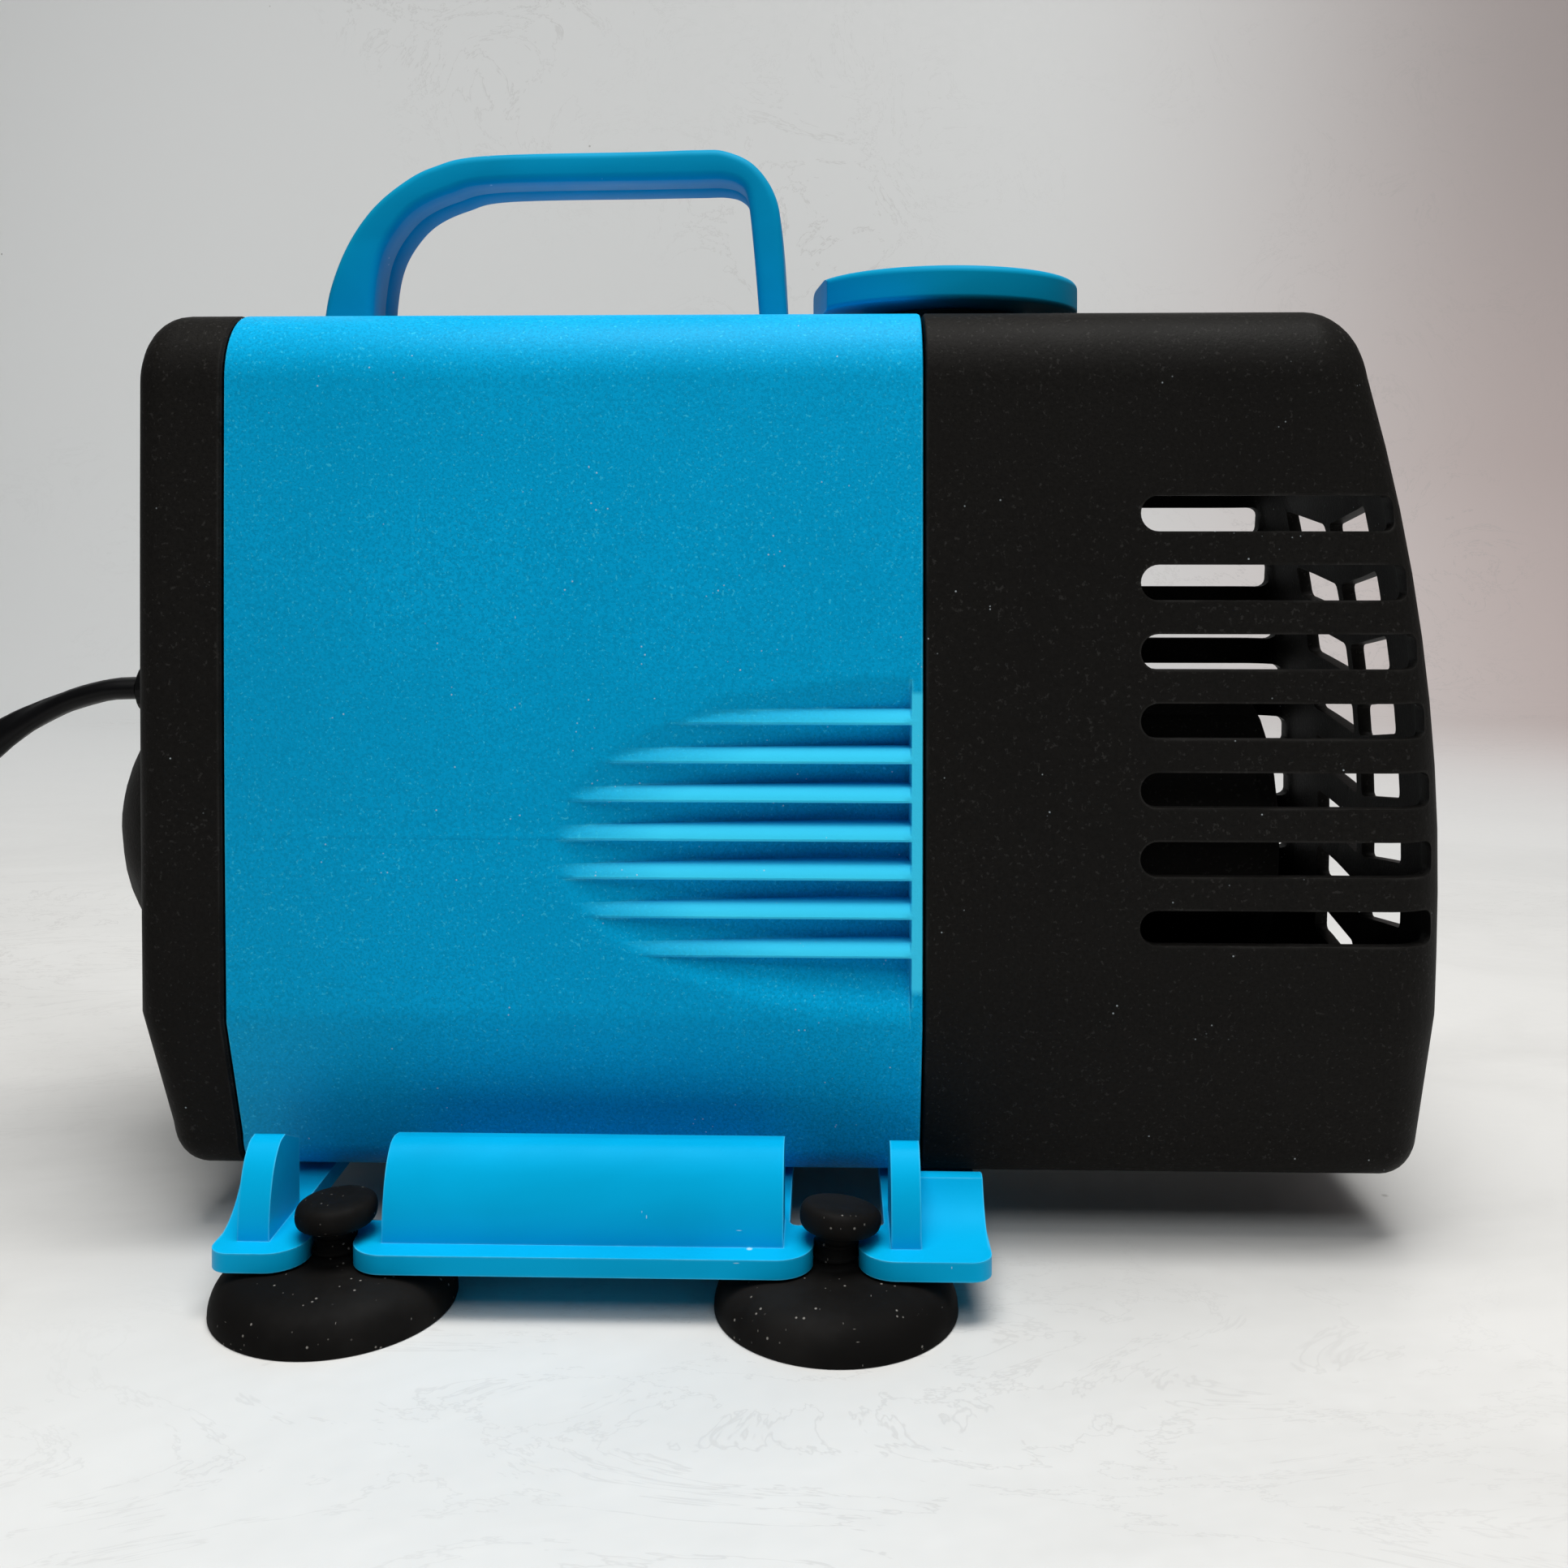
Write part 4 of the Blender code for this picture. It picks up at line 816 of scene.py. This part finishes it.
def carry_handle():
    """The handle: a section with round edges and a parting line, swept between the two outlines."""
    half = (handle_high.y - handle_low.y) / 2
    outer = smooth([Vector((x, 0, z)) * MM for x, z in HANDLE_OUTER], 10)
    inner = smooth([Vector((x, 0, z)) * MM for x, z in HANDLE_INNER], 10)
    rings = []
    for a, b in zip(inner, outer):
        out = b - a
        thick = out.length
        radius = 1.1 * MM
        low = (arc((-half + radius, radius), radius, 180, 270, 5)
               + [(-0.4 * MM, 0.0), (-0.15 * MM, 0.25 * MM), (0.15 * MM, 0.25 * MM), (0.4 * MM, 0.0)]
               + arc((half - radius, radius), radius, 270, 360, 5))
        high = (arc((half - radius, thick - radius), radius, 0, 90, 5)
                + arc((-half + radius, thick - radius), radius, 90, 180, 5))
        rings.append([a + out.normalized() * t + Vector((0, y, 0)) for y, t in low + high])
    handle = lofts("handle_moulding", [rings], 60)
    stand_for(handle, HANDLE_BLUE, "pump", "trim_blue", "carry_handle")


# ---------------------------------------------------------------- base and cups

FLANGE_Z = (5.3 * MM, 7.5 * MM)
RISER_X = (-40.0 * MM, 6.1 * MM)
END_RIBS_X = ((-56.7 * MM, -53.0 * MM), (18.4 * MM, 21.8 * MM))
CUP_X = (-46.0 * MM, 12.1 * MM)
CUP_Y = 42.1 * MM
CUP_SLOT_R = 2.6 * MM
RISER_INNER = (36.6 * MM, 17.4 * MM)
END_RIB_INNER = (33.8 * MM, 15.6 * MM)
FLANGE_CUT_Z = (2.0 * MM, 10.0 * MM)
# Openings through the plate beside the riser, inward of each cup
WELLS_X = ((-52.4 * MM, -40.6 * MM), (6.7 * MM, 17.8 * MM))
WELL_Y = (14.0 * MM, 38.2 * MM)


def upright_outline(side, inner_y, inner_z):
    """The section of the riser or of an end rib, from its curved face to its inner edge."""
    outer = smooth([Vector((y, z)) * MM for y, z in (
        (44.2, 6.5), (44.0, 9.8), (43.4, 12.8), (42.2, 15.6), (40.4, 17.4), (38.6, 17.8))], 4)
    points = [tuple(p) for p in outer] + [(inner_y, inner_z), (inner_y, 6.5 * MM)]
    return [(side * y, z) for y, z in points]


def cove_outline(side):
    """The hollow rounding between the flange and the body."""
    face = arc((44.5 * MM, 16.7 * MM), 9.2 * MM, -90, -153, 14)
    points = [(44.5 * MM, 6.5 * MM), *face, (35.4 * MM, 12.7 * MM), (33.6 * MM, 12.2 * MM),
              (33.6 * MM, 6.5 * MM)]
    return [(side * y, z) for y, z in points]


def cup_slot(x, side):
    """A slot open to the side, with a flared mouth, that a cup's neck slides into."""
    mouth = 4.2 * MM
    y0 = base_high.y - mouth
    right = arc((CUP_SLOT_R + mouth, y0), mouth, 180, 90, 10) + [(CUP_SLOT_R + mouth, 52 * MM)]
    left = [(-u, v) for u, v in reversed(right)]
    back = arc((0.0, CUP_Y), CUP_SLOT_R, 180, 360, 20)
    return [(x + u, side * v) for u, v in left + back + right]


def base_plate():
    outline = rounded_rectangle((base_low.x, base_low.y), (base_high.x, base_high.y), 2.5 * MM, 8)
    base = lofts("base_moulding", [along_z(outline, *FLANGE_Z)])
    uprights, coves, slots = [], [], []
    for side in (-1, 1):
        uprights.append(along_x(upright_outline(side, *RISER_INNER), *RISER_X))
        for start, end in END_RIBS_X:
            uprights.append(along_x(upright_outline(side, *END_RIB_INNER), start, end))
        coves.append(along_x(cove_outline(side), base_low.x + 0.2 * MM, END_RIBS_X[0][1] - 1 * MM))
        coves.append(along_x(cove_outline(side), END_RIBS_X[1][0] + 1 * MM, base_high.x - 0.2 * MM))
        for x in CUP_X:
            slots.append(along_z(cup_slot(x, side), *FLANGE_CUT_Z))
        for start, end in WELLS_X:
            near, far = sorted((side * WELL_Y[0], side * WELL_Y[1]))
            well = rounded_rectangle((start, near), (end, far), 1.0 * MM)
            slots.append(along_z(well, *FLANGE_CUT_Z))
    combine(base, "UNION", lofts("base_uprights", uprights), lofts("base_coves", coves))
    combine(base, "DIFFERENCE", lofts("cup_slots", slots))
    soften(base, 0.45 * MM, 3, 35)
    stand_for(base, BRIGHT, "pump", "trim_blue", "base_plate")


CUP_HEAD = (
    (0.0, 11.8), (2.6, 11.9), (3.8, 11.75), (4.4, 11.35), (4.65, 10.7), (4.65, 9.9), (4.4, 9.25), (3.8, 8.9),
    (2.8, 8.8))
CUP_BELL = (
    (2.4, 8.5), (2.3, 7.9), (2.45, 7.7), (2.45, 7.4), (2.3, 7.2), (2.3, 6.5), (2.55, 6.3), (2.6, 6.0),
    (2.45, 5.8), (2.5, 5.3), (3.0, 5.02), (4.5, 5.0), (7.0, 4.97), (9.5, 4.8), (11.4, 4.3), (12.7, 3.45),
    (13.5, 2.4), (13.9, 1.3), (14.0, 0.5), (14.0, 0.1), (13.7, 0.0), (13.0, 0.1), (11.0, 1.0), (9.0, 1.6),
    (4.5, 2.5), (0.0, 2.7))


def suction_cup(node, body, lean):
    """A cup whose head leans along X and Y and shifts along X."""
    low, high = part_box(node)
    x, y = (low.x + high.x) / 2, (low.y + high.y) / 2
    outline = smooth([Vector((r, h)) * MM for r, h in CUP_HEAD + CUP_BELL], 3)
    profile = [(max(p.x, 0.0), p.y) for p in outline]
    profile[0], profile[-1] = (0.0, profile[0][1]), (0.0, profile[-1][1])
    cup = turned(node.removeprefix("suction_"), profile, upright(x, y), 96, 50)
    for v in cup.data.vertices:
        up = eased(5.5 * MM, 11.5 * MM, v.co.z)
        v.co.z += up * (lean[0] * (v.co.x - x) + lean[1] * (v.co.y - y))
        v.co.x += up * lean[2] * MM
    cup.data.update()
    stand_for(cup, RUBBER, body, "cup_rubber", node)


# ---------------------------------------------------------------- outlet cap


CAP_THICK = 4.4 * MM
SPIGOT_R = 8.8 * MM
SPIGOT_WALL = 1.8 * MM
CAP_FLAT_TURN = 8


def outlet_cap():
    """A low screw cap with a flat on one side and a hollow spigot underneath."""
    radius = (cap_high.y - cap_low.y) / 2
    top = cap_high.z
    low = top - CAP_THICK
    crown = arc((radius - 1.0 * MM, top - 1.0 * MM), 1.0 * MM, 90, 0, 8)
    skirt = arc((radius - 0.6 * MM, low + 0.6 * MM), 0.6 * MM, 0, -90, 5)
    profile = [(0.0, top), (radius * 0.5, top), *crown, *skirt, (SPIGOT_R, low), (SPIGOT_R, cap_low.z),
               (SPIGOT_R - SPIGOT_WALL, cap_low.z), (SPIGOT_R - SPIGOT_WALL, low), (0.0, low)]
    cap = turned("cap_moulding", profile, upright(OUTLET_X, 0.0), 128, 30)
    beyond = box_rings((-40 * MM, -14 * MM, 100 * MM), (cap_low.x - OUTLET_X, 14 * MM, 130 * MM))
    flat = lofts("cap_flat", [beyond])
    flat.data.transform(upright(OUTLET_X, 0.0) @ Matrix.Rotation(math.radians(CAP_FLAT_TURN), 4, "Z"))
    combine(cap, "DIFFERENCE", flat)
    soften(cap, 0.4 * MM, 3, 40)
    stand_for(cap, HANDLE_BLUE, "cap", "trim_blue", "outlet_cap")


# ---------------------------------------------------------------- cord, coil, tie and plug


def coil_route():
    """The coil's turns, from where the cord comes in at +Y to where its tail leaves at -Y."""
    centre = (coil_low + coil_high) / 2
    pitch = CORD_WIDTH
    outer = (coil_high.x - coil_low.x) / 2 - CORD_WIDTH / 2 - 0.3 * MM
    # Each turn's radius and layer: inward on the first layer, outward on the second, and one on top
    laid = [(outer - pitch * k, 0) for k in (0, 1, 2)]
    laid += [(outer - pitch * k, 1) for k in (2, 1, 0)] + [(outer, 2)]
    lowest = coil_low.z + CORD_WIDTH / 2
    per_turn = 24
    points = []
    for k in range(int(COIL_TURNS * per_turn) + 1):
        turn = k / per_turn
        here = int(turn)
        onward = min(here + 1, len(laid) - 1)
        share = eased(0.8, 1.0, turn - here)
        radius = mix(laid[here][0], laid[onward][0], share)
        level = mix(laid[here][1], laid[onward][1], share)
        angle = math.radians(90) + 2 * math.pi * turn
        points.append(Vector((centre.x + radius * math.cos(angle), centre.y + radius * math.sin(angle),
                              lowest + pitch * level)))
    return points


def cord_line():
    lead = [Vector(p) * MM for p in CORD_ROUTE]
    tail = [Vector(p) * MM for p in TAIL_ROUTE]
    turns = coil_route()
    return evenly(smooth(lead + turns + tail, 6), 1.6 * MM)


def flat_tube(name, line, width, thick, roll_at):
    """A flat cord along a line, rolled about the line by an angle at each place along it."""
    shape = bmesh.new()
    up = Vector((0, 0, 1))
    rows = []
    count = 16
    for i, point in enumerate(line):
        along = (line[min(i + 1, len(line) - 1)] - line[max(i - 1, 0)]).normalized()
        side = along.cross(up).normalized()
        top = side.cross(along).normalized()
        roll = roll_at(i / (len(line) - 1))
        ring = []
        for k in range(count):
            a = 2 * math.pi * k / count
            u, v = math.cos(a), math.sin(a)
            waist = 1.0 - 0.16 * math.exp(-(u / 0.16) ** 2)
            u, v = u * width / 2, v * thick / 2 * waist
            across = side * (u * math.cos(roll) - v * math.sin(roll))
            ring.append(shape.verts.new(point + across + top * (u * math.sin(roll) + v * math.cos(roll))))
        rows.append(ring)
    for one, two in zip(rows, rows[1:]):
        for k in range(count):
            j = (k + 1) % count
            shape.faces.new((one[k], one[j], two[j], two[k]))
    shape.faces.new(list(reversed(rows[0])))
    shape.faces.new(rows[-1])
    return from_bmesh(name, shape, 60)


def cord():
    line = cord_line()
    length = sum((b - a).length for a, b in zip(line, line[1:]))

    def roll_at(share):
        """Flat side up at the gland, turned on edge as it falls, and flat in the coil."""
        run = share * length
        return math.radians(90) * eased(8 * MM, 30 * MM, run) * (1.0 - eased(60 * MM, 100 * MM, run))

    piece = flat_tube("mains_cord", line, CORD_WIDTH, CORD_THICK, roll_at)
    stand_for(piece, CORD, "pump", "cord_pvc", "power_cord", "cord_tail", "cord_coil")
    return piece, line, length


def cord_tie():
    """A soft strap round one side of the coil."""
    thick = 0.8 * MM
    radius = 3.0 * MM
    x0, x1 = tie_low.x, tie_high.x
    outer = rounded_rectangle((x0, tie_low.z + 0.02 * MM), (x1, tie_high.z), radius, 8)
    inner = rounded_rectangle((x0 + thick, tie_low.z + thick), (x1 - thick, tie_high.z - thick),
                              radius - thick, 8)
    y = (tie_low.y + tie_high.y) / 2
    half = 2.0 * MM
    shape = bmesh.new()
    rows = []
    for outline, side in ((outer, -half), (outer, half), (inner, half), (inner, -half)):
        rows.append([shape.verts.new((x, y + side, z)) for x, z in outline])
    for one, two in zip(rows, rows[1:] + rows[:1]):
        for k in range(len(one)):
            j = (k + 1) % len(one)
            shape.faces.new((one[k], one[j], two[j], two[k]))
    tie = from_bmesh("tie_strap", shape, 30)
    soften(tie, 0.2 * MM, 2, 40)
    stand_for(tie, SEAL, "pump", "cord_pvc", "cord_tie")
    return tie


def plug():
    """A moulded two-pin plug: a ribbed neck, a waisted grip and a flat face."""
    middle_y, middle_z = (plug_low.y + plug_high.y) / 2, (plug_low.z + plug_high.z) / 2
    half_y, half_z = (plug_high.y - plug_low.y) / 2, (plug_high.z - plug_low.z) / 2
    length = plug_high.x - plug_low.x
    # How far along the plug, half width and half height, in mm
    sections = [(0.0, 2.9, 2.9)]
    for k in range(6):
        at = 1.5 + 2.0 * k
        wide = mix(3.2, 4.6, k / 5)
        tall = wide * 0.95
        sections += [(at, wide, tall), (at + 1.1, wide, tall)]
        sections += [(at + 1.3, wide - 0.5, tall - 0.5), (at + 1.8, wide - 0.5, tall - 0.5)]
    sections += [(14.5, 6.2, 5.2), (16.0, 8.4, 6.0), (18.5, 11.0, 6.6), (22.0, 12.7, 6.85),
                 (26.0, 12.2, 6.6), (31.0, 11.9, 6.5), (36.0, 12.2, 6.7), (41.0, 12.9, 6.85),
                 (44.5, 12.9, 6.85), (45.5, 12.5, 6.5), (46.0, 11.6, 5.9)]
    rings = []
    for at, y, z in sections:
        y, z = min(y * MM, half_y), min(z * MM, half_z)
        low, high = (middle_y - y, middle_z - z), (middle_y + y, middle_z + z)
        outline = rounded_rectangle(low, high, min(y, z) * 0.7, 6)
        x = plug_low.x + min(at * MM, length)
        rings.append([(x, a, b) for a, b in outline])
    body = lofts("plug_moulding", [rings], 40)
    stand_for(body, CORD, "pump", "cord_pvc", "plug_body")
    return body


# ---------------------------------------------------------------- inner parts keep their CAD shape

for node, look in {
    "rotor_can": BLACK, "pump_chamber": BLACK, "chamber_cover": BLACK, "chamber_seal": SEAL,
    "outlet_cap_seal": SEAL, "shaft": CERAMIC, "shaft_bush_rear": SEAL, "shaft_bush_front": SEAL,
    "rotor_magnet": MAGNET, "impeller": IMPELLER, "stator_core": LAMINATION, "coil_bobbin_near": BOBBIN,
    "coil_bobbin_far": BOBBIN, "coil_winding_near": COPPER, "coil_winding_far": COPPER,
    "cable_gland": CORD, "plug_pin_near": BRASS, "plug_pin_far": BRASS,
}.items():
    wear(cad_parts[node], look)

cord_piece, cord_path, cord_length = cord()
tie_piece = cord_tie()
plug_piece = plug()

motor_housing()
rear_cover()
strainer_cover()
carry_handle()
base_plate()
suction_cup("suction_cup_rear_near", "cup_rear_near", (0.06, -0.02, 0.2))
suction_cup("suction_cup_front_near", "cup_front_near", (-0.12, -0.12, 0.6))
suction_cup("suction_cup_rear_far", "cup_rear_far", (-0.04, 0.03, 0.1))
suction_cup("suction_cup_front_far", "cup_front_far", (0.03, -0.03, -0.1))
outlet_cap()


# ---------------------------------------------------------------- floor, light and camera

FLOOR_START_Y = -1.6
SWEEP_Y = 0.55
SWEEP_RADIUS = 0.14
SWEEP_HALF_WIDTH = 2.0
SWEEP_TOP = 1.8


def sweep_mesh():
    """A board that lies flat in front and turns up behind the pump, well clear of it on all sides."""
    profile = [(FLOOR_START_Y, 0.0), (-0.4, 0.0), (0.0, 0.0), (SWEEP_Y, 0.0)]
    profile += [(SWEEP_Y + y, SWEEP_RADIUS + z) for y, z in arc((0.0, 0.0), SWEEP_RADIUS, -84, 0, 16)]
    profile += [(SWEEP_Y + SWEEP_RADIUS, SWEEP_TOP)]
    shape = bmesh.new()
    rows = [[shape.verts.new((x, y, z)) for y, z in profile] for x in (-SWEEP_HALF_WIDTH, SWEEP_HALF_WIDTH)]
    for i in range(len(profile) - 1):
        shape.faces.new((rows[0][i], rows[1][i], rows[1][i + 1], rows[0][i + 1]))
    sweep = from_bmesh("studio_sweep", shape, 60)
    for p in sweep.data.polygons:
        if p.normal.z < -0.01 or (abs(p.normal.z) < 0.01 and p.normal.y > 0):
            p.flip()
    return sweep


def floor():
    """Pale board with faint smudges, hairlines and specks.

    Its colour is lighter towards the back and the sides, painted light that evens out the lamps' fall-off,
    and darker up to the right, a painted shade on the rising board.
    """
    n = Nodes("studio_floor")
    smudge = n.noise(9.0, 5.0, 0.62, n.stretched((1.0, 1.6, 1.0)), 0.8)
    near = n.blend(n.ramp(smudge, 0.35, 0.72), (0.70, 0.695, 0.68, 1.0), (0.63, 0.625, 0.61, 1.0))
    axes = n.node("ShaderNodeSeparateXYZ")
    n.link(n.place, axes.inputs["Vector"])
    across, depth, height = axes.outputs["X"], axes.outputs["Y"], axes.outputs["Z"]
    # Painted light: lighter towards the back and the sides, to even out the lamps' fall-off.
    outward = n.ramp(n.math("ABSOLUTE", across), 0.0, 0.5)
    far = n.blend(outward, (0.74, 0.75, 0.75, 1.0), (0.95, 0.96, 0.96, 1.0))
    tone = n.blend(n.ramp(depth, 0.02, 0.50), near, far)
    # Painted shade: darker on the rising board up to the right.
    painted_shade_tone = n.blend(n.ramp(height, 0.0, 0.40), (0.73, 0.63, 0.61, 1.0), (0.53, 0.47, 0.46, 1.0))
    right = n.math("MULTIPLY", n.ramp(across, 0.10, 0.44), n.ramp(depth, 0.20, 0.50))
    tone = n.blend(right, tone, painted_shade_tone)
    vein = n.noise(16.0, 6.0, 0.7, n.stretched((1.0, 2.2, 1.0)), 1.5)
    thin = n.math("MULTIPLY", n.ramp(n.math("ABSOLUTE", n.math("SUBTRACT", vein, 0.5)), 0.012, 0.0),
                  n.ramp(n.noise(5.0, 2.0), 0.45, 0.7))
    tone = n.blend(n.math("MULTIPLY", thin, 0.35), tone, (0.45, 0.44, 0.43, 1.0))
    tone = n.blend(n.math("MULTIPLY", n.specks(75.0, 0.06, 0.34), 0.6), tone, (0.25, 0.24, 0.22, 1.0))
    fine = n.noise(420.0, 3.0)
    sweep = sweep_mesh()
    wear(sweep, n.finish(tone, n.ramp(fine, 0.2, 0.8, 0.5, 0.65), n.bump(fine, 0.15, 0.05 * MM)))


def area_light(name, place, aim, size, power, colour):
    data = bpy.data.lights.new(name, "AREA")
    data.shape = "RECTANGLE"
    data.size, data.size_y = size
    data.energy = power
    data.color = colour
    lamp = bpy.data.objects.new(name, data)
    bpy.context.scene.collection.objects.link(lamp)
    lamp.location = place
    lamp.rotation_euler = (Vector(aim) - Vector(place)).to_track_quat("-Z", "Y").to_euler()


def lights():
    world = bpy.data.worlds.new("studio")
    bpy.context.scene.world = world
    world.use_nodes = True
    sky = world.node_tree.nodes["Background"]
    sky.inputs["Color"].default_value = (0.90, 0.95, 1.0, 1.0)
    sky.inputs["Strength"].default_value = 0.035
    area_light("top_softbox", (0.05, -0.12, 0.80), (0.0, -0.03, 0.0), (0.60, 0.36), 7.5, (1.0, 0.99, 0.97))
    area_light("front_fill", (0.1, -0.70, 0.90), (0.0, 0.0, 0.05), (0.8, 0.4), 3.2, (0.95, 0.98, 1.0))


def camera():
    data = bpy.data.cameras.new("camera")
    data.sensor_width = 36.0
    data.lens = 35.6
    data.shift_y = -0.143
    data.clip_start = 0.01
    eye = bpy.data.objects.new("camera", data)
    bpy.context.scene.collection.objects.link(eye)
    eye.location = (0.0110, -0.2198, 0.0876)
    eye.rotation_euler = (math.radians(90 - 0.57), 0.0, math.radians(1.57))
    bpy.context.scene.camera = eye


floor()
lights()
camera()
bpy.context.scene.view_settings.view_transform = "Standard"
